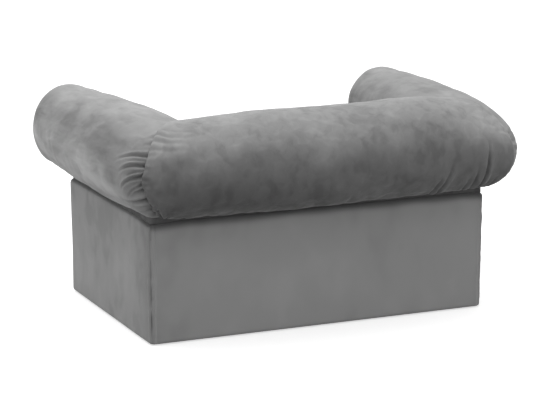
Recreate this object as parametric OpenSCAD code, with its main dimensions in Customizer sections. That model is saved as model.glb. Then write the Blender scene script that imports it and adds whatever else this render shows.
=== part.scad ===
// Dog sofa bed: an upholstered box base with a three-sided rolled bolster, a loose seat
// cushion and a bed section that pulls out of the base like a drawer.
// The origin is on the floor under the middle of the whole bed. The open front faces -Y,
// and left and right are as seen from the front, so left is -X.

/* [Base box] */
// Width of the base over its cover
base_w = 620; // [520:5:900]
// Depth of the base over its cover
base_d = 398; // [340:2:600]
// Height of the base above the floor
base_h = 210; // [190:1:300]
// Radius of the soft upper edges of the cover
edge_r = 8; // [5:0.5:14]
// Radius of the upright corners of the cover
corner_r = 6; // [3:0.5:12]

/* [Wooden frame] */
// Thickness of the carcass panels
panel_t = 12; // [9:1:18]
// Thickness of the seat deck
deck_t = 9; // [6:1:15]
// Thickness of the upright boards inside the rolls
board_t = 12; // [9:1:18]
// Height of the upright boards above the base
board_rise = 86; // [60:1:100]
// Height of the upright boards' lower edge above the carcass bottom
board_lift = 36; // [26:1:60]
// Height of the rail above the pull-out section
rail_h = 33; // [24:1:45]
// Side of the square cleats under the deck
cleat_s = 18; // [14:1:24]
// Side of the three-cornered glue blocks
block_s = 11; // [7:0.5:14]
// Length of a glue block
block_l = 60; // [30:1:90]

/* [Upholstery] */
// Thickness of the padded base cover
cover_t = 5; // [3:0.5:9]
// Thickness of the fabric turned under the base
hem_t = 2; // [1:0.5:3]
// Width of the fabric turned under the base
hem_w = 22; // [14:1:40]
// Thickness of the dust cover
dust_t = 1; // [0.6:0.2:2]
// Thickness of the foam folded over the upright boards
wrap_t = 12; // [6:1:16]

/* [Rolls] */
// Width of an arm roll at its front end
arm_front_w = 134; // [110:1:160]
// Width of an arm roll halfway along
arm_mid_w = 170; // [140:1:190]
// Width of the rolls at the rear corners
corner_w = 182; // [150:1:200]
// Width of the back roll in the middle
back_w = 188; // [150:1:210]
// Height of an arm roll at its front end
arm_front_h = 150; // [130:1:180]
// Height of an arm roll halfway along
arm_mid_h = 162; // [130:1:190]
// Height of the rolls at the rear corners
corner_h = 160; // [130:1:190]
// Height of the back roll in the middle
back_h = 169; // [130:1:200]
// Height of the arm's front end above the base
arm_front_lift = 8; // [2:0.5:20]
// Height of the arm's middle above the base
arm_mid_lift = 3; // [1:0.5:10]
// Height of the rear corners above the base
corner_lift = 3; // [1:0.5:10]
// Height of the back roll's middle above the base
back_lift = 4; // [1:0.5:10]
// From the base's side in to the roll's centre line, at the arm's front
arm_front_inset = 5; // [0:1:14]
// From the base's side in to the roll's centre line, at the rear corner
arm_corner_inset = 38; // [20:1:50]
// From the base's rear face in to the roll's centre line, at the corner
corner_back_inset = 8; // [0:1:20]
// From the base's rear face out to the roll's centre line, in the middle
back_outset = 6; // [0:1:20]
// How far an arm roll reaches in front of the base
arm_overhang = 73; // [40:1:100]
// Length of the rounded nose of an arm roll
nose_l = 62; // [40:1:90]
// Outer radius of the rear corners in plan
roll_corner_r = 72; // [50:1:90]
// Radius of the crease on the inside of the corners
crease_r = 8; // [4:1:14]
// How far the corner seam draws the rolls in
seam_pull = 5; // [0:0.5:10]

/* [Seat cushion] */
// Gap between the cushion's corners and the arm rolls
cushion_side_gap = 4.5; // [2:0.5:20]
// Height of the cushion at its border
cushion_h = 60; // [40:1:80]
// Height of the crown above the border
cushion_crown = 20; // [5:1:40]
// Gap between the cushion's rear and the corners of the rolls
cushion_rear_gap = 4; // [2:0.5:20]
// From the base's front in to the cushion's front
cushion_front_set = 8; // [2:1:30]
// Radius of the cushion's corners in plan
cushion_corner_r = 34; // [20:1:60]
// How far each side is drawn in between its corners
cushion_draw = 4; // [0:0.5:12]
// Margin from the cushion's border to its foam core
foam_margin = 18; // [12:1:30]
// Thickness of the foam core
foam_t = 46; // [25:1:60]

/* [Cushion zip] */
// From the rounded corner of the cushion to the end of the zip
zip_end = 17.5; // [6:0.5:60]
// Width of the zip tape
zip_tape_w = 22; // [16:1:26]
// Thickness of the zip tape
zip_tape_t = 0.8; // [0.6:0.1:1.5]
// Width of the closed row of teeth
zip_chain_w = 5; // [4:0.5:7]
// Thickness of the row of teeth above the tape
zip_chain_t = 1.8; // [1.2:0.1:3]
// Length of the slider
slider_l = 12; // [8:1:18]
// Width of the slider
slider_w = 9; // [7.5:0.5:14]
// Wall of the slider
slider_wall = 1.2; // [0.8:0.1:1.8]
// Length of the slider's pull
puller_l = 15; // [8:1:24]
// Width of the slider's pull
puller_w = 5; // [3:0.5:8]

/* [Pull-out section] */
// Gap round the front of the pull-out section
front_gap = 3; // [2:0.5:6]
// Height of its front above the floor
front_lift = 8; // [6:1:14]
// Thickness of the cover on the edges of its front
front_edge_t = 4; // [2:0.5:6]
// Thickness of its wooden walls
wall_t = 12; // [9:1:15]
// Height of its side walls
wall_h = 112; // [90:1:118]
// Height of its side walls above the carcass bottom
wall_lift = 8; // [5:1:14]
// Thickness of its bottom
tray_t = 5; // [3:1:8]
// Depth of the grooves that hold the bottom
tray_groove = 5; // [3:0.5:6]
// Height of the bottom above the lower edge of the walls
tray_lift = 8; // [6:1:14]
// Gap behind its rear wall
rear_gap = 20; // [10:1:60]
// Distance that it pulls out
travel = 240; // [120:1:250]
// Width of the hand-pull webbing
tab_w = 25; // [15:1:40]
// Thickness of the webbing
tab_t = 2.5; // [1.5:0.1:3]
// Inner radius of the webbing's finger loop
tab_loop_r = 10; // [8:0.5:14]
// Height of the webbing's clamped flange
tab_flange_h = 36; // [26:1:50]
// Height of the hand pull above the lower edge of the front
tab_z = 92; // [50:1:110]

/* [Bed pad] */
// Height of the bed pad at its border
pad_h = 34; // [20:1:50]
// Height of the bed pad's crown above the border
pad_crown = 10; // [3:1:20]
// Gap between the bed pad and the walls round it
pad_gap = 4; // [1:0.5:12]
// Radius of the bed pad's corners in plan
pad_corner_r = 24; // [12:1:40]
// How far each side of the bed pad is drawn in
pad_draw = 4; // [0:0.5:10]

/* [Runners and stops] */
// Thickness of the wooden runners
runner_t = 9; // [6:0.5:12]
// Height of the wooden runners
runner_h = 16; // [12:1:22]
// Height of the runners above the lower edge of the walls
runner_lift = 58; // [40:1:80]
// Depth of the groove that takes a runner
runner_groove = 6; // [4:0.5:8]
// Gap between the walls and the boards beside them
wall_gap = 3.5; // [2:0.5:6]
// Width of a stop block
stop_w = 30; // [20:1:50]
// Length of a stop block along the travel
stop_l = 18; // [12:1:30]
// How far the stop blocks reach below the top of the rear wall
stop_catch = 10; // [6:1:20]
// From the middle out to each stop block
stop_x = 150; // [60:1:180]

/* [Fasteners] */
// Radius of the wood screws
screw_r = 2; // [1.5:0.1:2.5]
// Radius of the screw heads
screw_head_r = 4; // [3:0.1:4.5]
// Depth of the screw heads
screw_head_h = 2.4; // [1.8:0.1:3]
// Length of the screws that join the carcass
carcass_screw_l = 40; // [30:1:60]
// Length of the screws through the upright boards
board_screw_l = 20; // [16:1:22]
// Length of the screws through the cleats
cleat_screw_l = 26; // [22:1:28]
// Length of the screws through the runners
runner_screw_l = 18; // [14:1:19]
// Radius of the dowels in the pull-out section
dowel_r = 3; // [2:0.5:4]
// Length of a dowel
dowel_l = 28; // [20:1:36]
// Radius of a floor glide
glide_r = 11; // [8:0.5:16]
// Height of a floor glide
glide_h = 4; // [3:0.5:8]
// Radius of a glide's nail
glide_pin_r = 1.2; // [0.8:0.1:2]
// Length of a glide's nail
glide_pin_l = 9; // [6:0.5:10]
// From the carcass's edge in to the middle of a glide
glide_inset = 36; // [20:1:60]

/* [Hidden] */
// Clearance round soft pieces and between fixed wooden ones
soft_gap = 0.3;
// Clearance of a runner in its groove
run_gap = 0.5;
// Radial clearance of screws, dowels and nails in their holes
pin_gap = 0.05;
// Overrun of every cut
over = 1;
// Smallest joint gap between wooden pieces
joint_gap = 0.2;

// The carcass inside the cover
frame_w = base_w - 2 * cover_t;
frame_d = base_d - 2 * cover_t;
frame_z = glide_h;
frame_top = base_h - cover_t;
inner_w = frame_w - 2 * panel_t;
back_in_y = frame_d / 2 - panel_t;
front_in_y = -frame_d / 2 + panel_t;
bottom_top = frame_z + panel_t;
deck_z = frame_top - deck_t;
rail_z = deck_z - rail_h;
board_in_x = inner_w / 2 - board_t;
board_in_y = back_in_y - board_t;
board_z = bottom_top + board_lift;
board_top = base_h + board_rise;
board_front = front_in_y + joint_gap;

// The pull-out section
front_w = inner_w - 2 * front_gap;
front_top = rail_z - hem_t - front_gap;
front_h = front_top - front_lift;
front_in_w = front_w - 2 * front_edge_t;
wall_out_x = board_in_x - wall_gap;
wall_in_x = wall_out_x - wall_t;
wall_z = bottom_top + wall_lift;
wall_end = board_in_y - rear_gap;
tray_z = wall_z + tray_lift;
pad_z = tray_z + tray_t;
runner_z = wall_z + runner_lift;
stop_y = wall_end - wall_t - travel - soft_gap;
tab_place = front_lift + tab_z;

// The rolls: full widths and heights halved, and the centre lines
arm_x_front = base_w / 2 - arm_front_inset;
roll_x = base_w / 2 - arm_corner_inset;
roll_y = base_d / 2 - corner_back_inset;
back_y = base_d / 2 + back_outset;
nose_y = -base_d / 2 - arm_overhang + nose_l;
nose_tip = [arm_x_front, nose_y - nose_l, base_h + arm_front_lift + arm_front_h / 2];
roll_turn = roll_corner_r - corner_w / 2;

// Places of the fasteners, as shares of the panel that they are spread along
spread_shares = [-0.38, 0, 0.38];
pair_shares = [-0.3, 0.3];

// How finely the soft forms are divided
ring_n = 28;
nose_n = 7;
nose_fullness = 0.9;
arm_n = 11;
turn_n = 6;
back_n = 9;
side_n = 8;
bend_n = 4;
hole_fn = 24;

// Heights up a pad's border, as shares of it, with how far the border is drawn in there,
// as shares of the border's height
border_shares = [[0.00, 0.22], [0.12, 0.07], [0.28, 0], [0.72, 0], [0.88, 0.07], [1, 0.24]];
// Sizes of the rings over the crown, as shares of the pad
crown_shares = [0.86, 0.66, 0.44, 0.22];

// Smooth curve through three values, at 0, at a half and at 1
function through(a, b, c, t) = a * (1 - t) * (1 - 2 * t) + b * 4 * t * (1 - t) + c * t * (2 * t - 1);

// Curve that leaves one value at once and levels off at the other
function swell(a, b, t) = b - (b - a) * (1 - t) * (1 - t);

// Faces of a skin over rings of n points each, closed by a middle point at both ends
function skin_faces(rings, n) = concat(
    [for (i = [0 : rings - 2], j = [0 : n - 1]) [i * n + j, i * n + (j + 1) % n, (i + 1) * n + j]],
    [for (i = [0 : rings - 2], j = [0 : n - 1])
        [i * n + (j + 1) % n, (i + 1) * n + (j + 1) % n, (i + 1) * n + j]],
    [for (j = [0 : n - 1]) [rings * n, (j + 1) % n, j]],
    [for (j = [0 : n - 1]) [rings * n + 1, (rings - 1) * n + j, (rings - 1) * n + (j + 1) % n]]
);
function middle(ring) = [for (k = [0 : 2]) [for (p = ring) p[k]] * [for (p = ring) 1] / len(ring)];

// A closed solid through rings of points, from a tip to the middle of the last ring
module skin(tip, rings) {
    polyhedron(
        points = concat([for (r = rings) each r], [tip, middle(rings[len(rings) - 1])]),
        faces = skin_faces(len(rings), len(rings[0])),
        convexity = 6
    );
}

// Moves a piece so that the origin lies under the middle of the rolls, and not of the base
module centred() {
    rear = back_y + back_w / 2;
    front = -base_d / 2 - arm_overhang;
    translate([0, -(rear + front) / 2, 0]) children();
}

// A rectangle with rounded corners, about the middle
module rounded_rect(w, h, r) {
    square([w - 2 * r, h], center = true);
    square([w, h - 2 * r], center = true);
    for (x = [-1, 1], y = [-1, 1]) translate([x * (w / 2 - r), y * (h / 2 - r)]) circle(r, $fn = 48);
}

// A wall section w wide from lo up to hi, with its upper corners rounded
module arch(w, lo, hi, r) {
    translate([-w / 2, lo]) square([w, hi - r - lo]);
    translate([-w / 2 + r, lo]) square([w - 2 * r, hi - lo]);
    for (x = [-1, 1]) translate([x * (w / 2 - r), hi - r]) circle(r, $fn = 48);
}

// The outside of the covered base: plan, front and side outlines cut from each other
module base_block() {
    lo = frame_z - hem_t;
    intersection() {
        translate([0, 0, lo]) linear_extrude(base_h - lo) rounded_rect(base_w, base_d, corner_r);
        rotate([90, 0, 0])
            linear_extrude(base_d + 2 * over, center = true) arch(base_w, lo, base_h, edge_r);
        rotate([90, 0, 90])
            linear_extrude(base_w + 2 * over, center = true) arch(base_d, lo, base_h, edge_r);
    }
}

// A box between two corners
module block(lo, hi) {
    translate(lo) cube(hi - lo);
}

// A countersunk wood screw that points down from its head at the origin
module wood_screw(l) {
    rotate_extrude($fn = hole_fn) polygon([
        [0, 0], [screw_head_r, 0], [screw_r, -screw_head_h], [screw_r, screw_head_r - l], [0, -l]
    ]);
}

// The countersunk hole that such a screw fills
module screw_hole(l) {
    translate([0, 0, -l - pin_gap]) cylinder(r = screw_r + pin_gap, h = l + pin_gap + over, $fn = hole_fn);
    translate([0, 0, -screw_head_h - pin_gap])
        cylinder(r1 = screw_r + pin_gap, r2 = screw_head_r + pin_gap, h = screw_head_h, $fn = hole_fn);
    translate([0, 0, -2 * pin_gap])
        cylinder(r = screw_head_r + pin_gap, h = over, $fn = hole_fn);
}

// Carcass screws of the right side, through its panel into what it carries
module at_carcass_screws() {
    places = concat(
        [for (s = spread_shares) [s * frame_d, frame_z + panel_t / 2]],
        [for (s = pair_shares) [back_in_y + panel_t / 2, base_h / 2 + s * base_h]],
        [[front_in_y - panel_t / 2, rail_z + rail_h / 2]]
    );
    for (p = places) translate([frame_w / 2, p[0], p[1]]) rotate([0, 90, 0]) children();
}

// Screws of the right arm board, into the side panel
module at_arm_board_screws() {
    for (s = pair_shares, z = [board_z + cleat_s, rail_z - cleat_s])
        translate([board_in_x, s * frame_d, z]) rotate([0, -90, 0]) children();
}

// Screws of the back board, into the back panel
module at_back_board_screws() {
    for (s = spread_shares, z = [board_z + cleat_s, rail_z - cleat_s])
        translate([s * inner_w, board_in_y, z]) rotate([90, 0, 0]) children();
}

// Screws of the right cleat, into the arm board
module at_side_cleat_screws() {
    for (s = spread_shares)
        translate([board_in_x - cleat_s, s * inner_depth(), deck_z - cleat_s / 2])
            rotate([0, -90, 0]) children();
}

// Screws of the back cleat, into the back board
module at_back_cleat_screws() {
    for (s = pair_shares)
        translate([s * inner_w, board_in_y - cleat_s, deck_z - cleat_s / 2])
            rotate([90, 0, 0]) children();
}

// Screws of the deck, into the right cleat
module at_deck_screws() {
    for (s = pair_shares)
        translate([board_in_x - cleat_s / 2, s * inner_depth(), frame_top]) children();
}

// Screws of the right runner, into the arm board
module at_runner_screws() {
    for (s = pair_shares)
        translate([board_in_x - runner_t, s * inner_depth(), runner_z + runner_h / 2])
            rotate([0, -90, 0]) children();
}

// Depth between the front rail and the back board, less the back cleat
function inner_depth() = board_in_y - cleat_s - front_in_y;

// Screws of the right drawer side, into the rear wall
module at_drawer_screws() {
    for (s = pair_shares)
        translate([wall_out_x, wall_end - wall_t / 2, wall_z + wall_h / 2 + s * wall_h])
            rotate([0, 90, 0]) children();
}

// Dowels between the right drawer side and the front
module at_dowels() {
    for (s = pair_shares)
        translate([wall_out_x - wall_t / 2, front_in_y, wall_z + wall_h / 2 + s * wall_h])
            rotate([90, 0, 0]) children();
}

module both_sides() {
    children();
    mirror([1, 0, 0]) children();
}

module at_glides() {
    for (x = [-1, 1], y = [-1, 1])
        translate([x * (inner_w / 2 - glide_inset), y * (frame_d / 2 - panel_t - glide_inset), 0])
            children();
}

module bottom_panel() {
    centred() color("burlywood") difference() {
        block(
            [-inner_w / 2, front_in_y + joint_gap, frame_z],
            [inner_w / 2, back_in_y, bottom_top]
        );
        both_sides() at_carcass_screws() screw_hole(carcass_screw_l);
        at_glides()
            cylinder(r = glide_pin_r + pin_gap, h = glide_h + glide_pin_l + pin_gap, $fn = hole_fn);
    }
}

// The right side panel, mirrored for the left one
module side_panel() {
    centred() color("burlywood") difference() {
        block([inner_w / 2, -frame_d / 2, frame_z], [frame_w / 2, frame_d / 2, frame_top]);
        at_carcass_screws() screw_hole(carcass_screw_l);
        at_arm_board_screws() screw_hole(board_screw_l);
    }
}

module right_side_panel() {
    side_panel();
}

module left_side_panel() {
    mirror([1, 0, 0]) side_panel();
}

module back_panel() {
    centred() color("burlywood") difference() {
        block([-inner_w / 2, back_in_y, frame_z], [inner_w / 2, frame_d / 2, frame_top]);
        both_sides() at_carcass_screws() screw_hole(carcass_screw_l);
        at_back_board_screws() screw_hole(board_screw_l);
    }
}

module front_rail() {
    centred() color("burlywood") difference() {
        block([-inner_w / 2, -frame_d / 2, rail_z], [inner_w / 2, front_in_y, deck_z]);
        both_sides() at_carcass_screws() screw_hole(carcass_screw_l);
    }
}

// The deck lies on the rail and the cleats, between the upright boards
module seat_deck() {
    centred() color("tan") difference() {
        block(
            [-board_in_x + joint_gap, -frame_d / 2, deck_z],
            [board_in_x - joint_gap, board_in_y - joint_gap, frame_top]
        );
        both_sides() at_deck_screws() screw_hole(deck_screw_l());
    }
}
function deck_screw_l() = deck_t + cleat_s * 0.7;

module arm_board() {
    centred() color("peru") difference() {
        block([board_in_x, board_front, board_z], [inner_w / 2, board_in_y - joint_gap, board_top]);
        at_arm_board_screws() screw_hole(board_screw_l);
        at_side_cleat_screws() screw_hole(cleat_screw_l);
        at_runner_screws() screw_hole(runner_screw_l);
    }
}

module right_arm_board() {
    arm_board();
}

module left_arm_board() {
    mirror([1, 0, 0]) arm_board();
}

module back_board() {
    centred() color("peru") difference() {
        block(
            [-inner_w / 2 + joint_gap, board_in_y, board_z],
            [inner_w / 2 - joint_gap, back_in_y, board_top]
        );
        at_back_board_screws() screw_hole(board_screw_l);
        at_back_cleat_screws() screw_hole(cleat_screw_l);
    }
}

module side_cleats() {
    centred() color("wheat") both_sides() difference() {
        block(
            [board_in_x - cleat_s, front_in_y, deck_z - cleat_s],
            [board_in_x, board_in_y - cleat_s - joint_gap, deck_z]
        );
        at_side_cleat_screws() screw_hole(cleat_screw_l);
        at_deck_screws() screw_hole(deck_screw_l());
    }
}

module back_cleat() {
    centred() color("wheat") difference() {
        block(
            [-board_in_x, board_in_y - cleat_s, deck_z - cleat_s],
            [board_in_x, board_in_y, deck_z]
        );
        at_back_cleat_screws() screw_hole(cleat_screw_l);
    }
}

// Three-cornered blocks glued between the bottom and the side panels
module glue_blocks() {
    centred() color("wheat") both_sides() for (s = pair_shares)
        translate([inner_w / 2, s * frame_d + block_l / 2, bottom_top])
            rotate([90, 0, 0]) linear_extrude(block_l) polygon([[0, 0], [0, block_s], [-block_s, 0]]);
}

module runner() {
    centred() color("wheat") difference() {
        block(
            [board_in_x - runner_t, board_front, runner_z],
            [board_in_x, board_in_y - joint_gap, runner_z + runner_h]
        );
        at_runner_screws() screw_hole(runner_screw_l);
    }
}

module right_runner() {
    runner();
}

module left_runner() {
    mirror([1, 0, 0]) runner();
}

// Blocks under the deck that catch the rear wall when the section is fully out
module drawer_stops() {
    centred() color("wheat") for (x = [-1, 1])
        block(
            [x * stop_x - stop_w / 2, stop_y - stop_l, wall_z + wall_h - stop_catch],
            [x * stop_x + stop_w / 2, stop_y, deck_z]
        );
}

module carcass_screws() {
    centred() color("silver") both_sides() at_carcass_screws() wood_screw(carcass_screw_l);
}

module board_screws() {
    centred() color("silver") both_sides() at_arm_board_screws() wood_screw(board_screw_l);
    centred() color("silver") at_back_board_screws() wood_screw(board_screw_l);
}

module cleat_screws() {
    centred() color("silver") both_sides() at_side_cleat_screws() wood_screw(cleat_screw_l);
    centred() color("silver") at_back_cleat_screws() wood_screw(cleat_screw_l);
}

module deck_screws() {
    centred() color("silver") both_sides() at_deck_screws() wood_screw(deck_screw_l());
}

module runner_screws() {
    centred() color("silver") both_sides() at_runner_screws() wood_screw(runner_screw_l);
}

// Nail-on plastic glides, domed where they meet the floor
module glides() {
    centred() color("dimgray") at_glides() {
        cylinder(r1 = glide_r - glide_h / 4, r2 = glide_r, h = glide_h / 4, $fn = 48);
        translate([0, 0, glide_h / 4]) cylinder(r = glide_r, h = glide_h * 3 / 4, $fn = 48);
        cylinder(r = glide_pin_r, h = glide_h + glide_pin_l, $fn = hole_fn);
    }
}

// Non-woven fabric stapled under the bottom panel
module dust_cover() {
    centred() color("black") difference() {
        block(
            [hem_w - base_w / 2 + soft_gap, -bottom_reach(), frame_z - dust_t],
            [base_w / 2 - hem_w - soft_gap, bottom_reach(), frame_z]
        );
        at_glides() translate([0, 0, -over])
            cylinder(r = glide_r + soft_gap, h = glide_h + 2 * over, $fn = 48);
    }
}
function bottom_reach() = base_d / 2 - hem_w - soft_gap;

// The padded cover of the base's sides and rear, with its turned-over top and hem
module cover_shell() {
    difference() {
        base_block();
        block([-frame_w / 2, -frame_d / 2, frame_z], [frame_w / 2, frame_d / 2, frame_top]);
        block([-inner_w / 2, -base_d / 2 - over, -over], [inner_w / 2, back_in_y, base_h + over]);
        block(
            [hem_w - base_w / 2, hem_w - base_d / 2, -over],
            [base_w / 2 - hem_w, base_d / 2 - hem_w, frame_z + over]
        );
    }
}

// Plan of the right cover, up to the mitred seam at the rear corner
module side_cover_plan() {
    reach = hem_w + cover_t;
    polygon([
        [base_w / 2 - reach, -base_d / 2 - over],
        [base_w / 2 + over, -base_d / 2 - over],
        [base_w / 2 + over, base_d / 2 + over],
        [base_w / 2 - reach, base_d / 2 - reach]
    ]);
}

module right_base_cover() {
    centred() color("gray") intersection() {
        cover_shell();
        linear_extrude(base_h + over) side_cover_plan();
    }
}

module left_base_cover() {
    mirror([1, 0, 0]) right_base_cover();
}

module back_base_cover() {
    centred() color("dimgray") difference() {
        intersection() {
            cover_shell();
            block([-base_w, 0, 0], [base_w, base_d, base_h + over]);
        }
        both_sides() translate([0, 0, -over]) linear_extrude(base_h + 3 * over) side_cover_plan();
    }
}

// Padded cover of the deck, turned down over the rail
module deck_cover() {
    centred() color("gray") intersection() {
        rotate([90, 0, 90]) linear_extrude(base_w, center = true) difference() {
            arch(base_d, rail_z - hem_t, base_h, edge_r);
            translate([-frame_d / 2, rail_z]) square([base_d, frame_top - rail_z]);
            translate([front_in_y, 0]) square([base_d, frame_top]);
            translate([board_in_y - soft_gap, 0]) square([base_d, base_h + over]);
        }
        union() {
            block(
                [-inner_w / 2 + joint_gap, -base_d / 2 - over, 0],
                [inner_w / 2 - joint_gap, board_front - joint_gap, base_h + over]
            );
            block(
                [-board_in_x + soft_gap, -base_d / 2 - over, 0],
                [board_in_x - soft_gap, base_d / 2, base_h + over]
            );
        }
    }
}

// Foam folded over the right arm board, closed at the top and the front
module arm_wrap() {
    centred() color("khaki") difference() {
        block(
            [board_in_x - wrap_t, board_front - wrap_t, wrap_z()],
            [inner_w / 2 + wrap_t, board_in_y - wrap_t - soft_gap, board_top + wrap_t]
        );
        block(
            [board_in_x - soft_gap, board_front - soft_gap, 0],
            [inner_w / 2 + soft_gap, base_d, board_top + soft_gap]
        );
    }
}
function wrap_z() = base_h + max(arm_front_lift, corner_lift, back_lift);

module right_foam_wrap() {
    arm_wrap();
}

module left_foam_wrap() {
    mirror([1, 0, 0]) arm_wrap();
}

// Foam folded over the back board and closed over its ends
module back_foam_wrap() {
    centred() color("khaki") difference() {
        block(
            [-inner_w / 2 - wrap_t, board_in_y - wrap_t, wrap_z()],
            [inner_w / 2 + wrap_t, back_in_y + wrap_t, board_top + wrap_t]
        );
        block(
            [-inner_w / 2 - soft_gap, board_in_y - soft_gap, 0],
            [inner_w / 2 + soft_gap, back_in_y + soft_gap, board_top + soft_gap]
        );
        both_sides() block(
            [board_in_x - soft_gap, 0, 0],
            [inner_w / 2 + soft_gap, board_in_y, board_top + soft_gap]
        );
    }
}

// Points round a roll's section, as shares of its half width and half height
ring_shares = [for (i = [0 : ring_n - 1]) [cos(360 * i / ring_n), sin(360 * i / ring_n)]];

// Half sizes of the rolls and the height of their middle, along an arm and along the back
function arm_half_w(t) = through(arm_front_w, arm_mid_w, corner_w, t) / 2;
function arm_half_h(t) = through(arm_front_h, arm_mid_h, corner_h, t) / 2;
function arm_z(t) = base_h + through(arm_front_lift, arm_mid_lift, corner_lift, t) + arm_half_h(t);
function back_half_w(t) = swell(corner_w, back_w, t) / 2;
function back_half_h(t) = swell(corner_h, back_h, t) / 2;
function back_z(t) = base_h + swell(corner_lift, back_lift, t) + back_half_h(t);

// Radius on which a line of the roll turns the corner: outer lines turn wide, inner ones crease
function turn_r(c) = max(crease_r, roll_turn + c * corner_w / 2);

// Rounded nose of the right arm, from behind its tip back to the straight run
nose_rings = [for (i = [1 : nose_n])
    let (a = 90 * i / (nose_n + 1), out = pow(cos(a), nose_fullness), s = pow(sin(a), nose_fullness))
    [for (q = ring_shares) [
        nose_tip[0] + q[0] * s * arm_half_w(0),
        nose_y - out * nose_l,
        nose_tip[2] + q[1] * s * arm_half_h(0)
    ]]
];

// The straight run of the right arm
arm_rings = [for (i = [0 : arm_n - 1])
    let (t = i / arm_n)
    [for (q = ring_shares)
        let (end = roll_y + q[0] * corner_w / 2 - turn_r(q[0]))
        [
            arm_x_front + (roll_x - arm_x_front) * t + q[0] * arm_half_w(t),
            nose_y + (end - nose_y) * t,
            arm_z(t) + q[1] * arm_half_h(t)
        ]
    ]
];

// Half of the corner, from the arm to the mitre; the seam draws the last rings in
turn_rings = [for (i = [0 : turn_n])
    let (a = 45 * i / turn_n, pull = seam_pull * pow(i / turn_n, 4))
    [for (q = ring_shares)
        let (r = turn_r(q[0]), u = q[0] * (corner_w / 2 - pull))
        [
            roll_x + u - r + r * cos(a),
            roll_y + u - r + r * sin(a),
            arm_z(1) + q[1] * (corner_h / 2 - pull)
        ]
    ]
];

// Half of the back, from the corner's end to the middle
back_rings = [for (i = [1 : back_n])
    let (t = i / back_n)
    [for (q = ring_shares)
        let (start = roll_x + q[0] * corner_w / 2 - turn_r(q[0]))
        [
            start * (1 - t),
            swell(roll_y, back_y, t) + q[0] * back_half_w(t),
            back_z(t) + q[1] * back_half_h(t)
        ]
    ]
];

// A ring seen in the mitre, which turns an arm's corner into the back's
function over_mitre(ring) = [for (p = ring) [p[1] - roll_y + roll_x, p[0] - roll_x + roll_y, p[2]]];
function moved(ring, d) = [for (p = ring) p + d];
function mirrored(ring) = [for (p = ring) [-p[0], p[1], p[2]]];

// Slots in the undersides of the rolls, for the upright boards and their foam
module board_slots() {
    around = wrap_t + soft_gap;
    block(
        [-inner_w / 2 - around, board_in_y - around, 0],
        [inner_w / 2 + around, back_in_y + around, board_top + around]
    );
    both_sides() block(
        [board_in_x - around, board_front - around, 0],
        [inner_w / 2 + around, board_in_y, board_top + around]
    );
}

// The right arm roll
module arm_roll() {
    centred() color("gray") difference() {
        skin(
            nose_tip - [0, soft_gap, 0],
            [for (r = concat(nose_rings, arm_rings, turn_rings)) moved(r, [0, -soft_gap, 0])]
        );
        board_slots();
    }
}

module right_arm_roll() {
    arm_roll();
}

module left_arm_roll() {
    mirror([1, 0, 0]) arm_roll();
}

module back_roll() {
    half = concat(
        [for (i = [turn_n : -1 : 0]) moved(over_mitre(turn_rings[i]), [-soft_gap, 0, 0])],
        back_rings
    );
    other = [for (i = [len(half) - 2 : -1 : 0]) mirrored(half[i])];
    centred() color("gray") difference() {
        skin(middle(half[0]), concat(half, other));
        board_slots();
    }
}

// Plan of a pad, counter-clockwise: straight sides drawn in a little between round corners
function outward(a, b) = [b[1] - a[1], a[0] - b[0]] / norm(b - a);
function pad_plan(front_w, rear_w, y0, y1, r, draw) =
    let (
        corners = [[front_w / 2, y0], [rear_w / 2, y1], [-rear_w / 2, y1], [-front_w / 2, y0]],
        normals = [for (k = [0 : 3]) outward(corners[k], corners[(k + 1) % 4])],
        centres = [for (k = [0 : 3])
            let (n = normals[(k + 3) % 4], m = normals[k])
            corners[k] - (n + m) * r / (1 + n * m)
        ],
        draws = [draw, 0, draw, draw]
    )
    [for (k = [0 : 3])
        let (n = normals[(k + 3) % 4], m = normals[k], start = centres[k], end = centres[(k + 1) % 4])
        each concat(
            [for (i = [0 : bend_n])
                let (a = acos(n * m) * i / bend_n, side = [-n[1], n[0]])
                start + r * (n * cos(a) + side * sin(a))],
            [for (i = [1 : side_n - 1])
                let (t = i / side_n)
                start + (end - start) * t + m * (r - draws[k] * 4 * t * (1 - t))]
        )
    ];

// A pad over a tapered plan: a rolled border under a crown that rises to the middle
module soft_pad(front_w, rear_w, y0, y1, r, draw, z, h, crown) {
    plan = pad_plan(front_w, rear_w, y0, y1, r, draw);
    cy = (y0 + y1) / 2;
    hy = (y1 - y0) / 2;
    lip = border_shares[len(border_shares) - 1][1] * h;
    border = [for (b = border_shares) [for (p = plan) drawn(p, cy, hy, b[1] * h, z + b[0] * h)]];
    top = [for (s = crown_shares) [for (p = plan)
        let (
            q = drawn(p, cy, hy, lip, 0),
            x = q[0] * s,
            y = (q[1] - cy) * s,
            hx = front_w / 2 + (rear_w - front_w) / 2 * (y + hy) / (2 * hy) - lip
        )
        [x, cy + y, z + h + crown * (1 - pow(x / hx, 2)) * (1 - pow(y / (hy - lip), 2))]
    ]];
    rings = concat(border, top);
    skin(middle(rings[0]), rings);
}

// A point of a plan, drawn in towards the middle by a margin at the sides
function drawn(p, cy, hy, margin, z) = [
    p[0] * (1 - margin / hy),
    cy + (p[1] - cy) * (1 - margin / hy),
    z
];

// The cushion keeps clear of the arms' inner lines, at its front and at its rear
function arm_in_t(y) = (y - nose_y) / (roll_y - corner_w / 2 - crease_r - nose_y);
function arm_in_x(t) = arm_x_front + (roll_x - arm_x_front) * t - arm_half_w(t);

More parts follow.
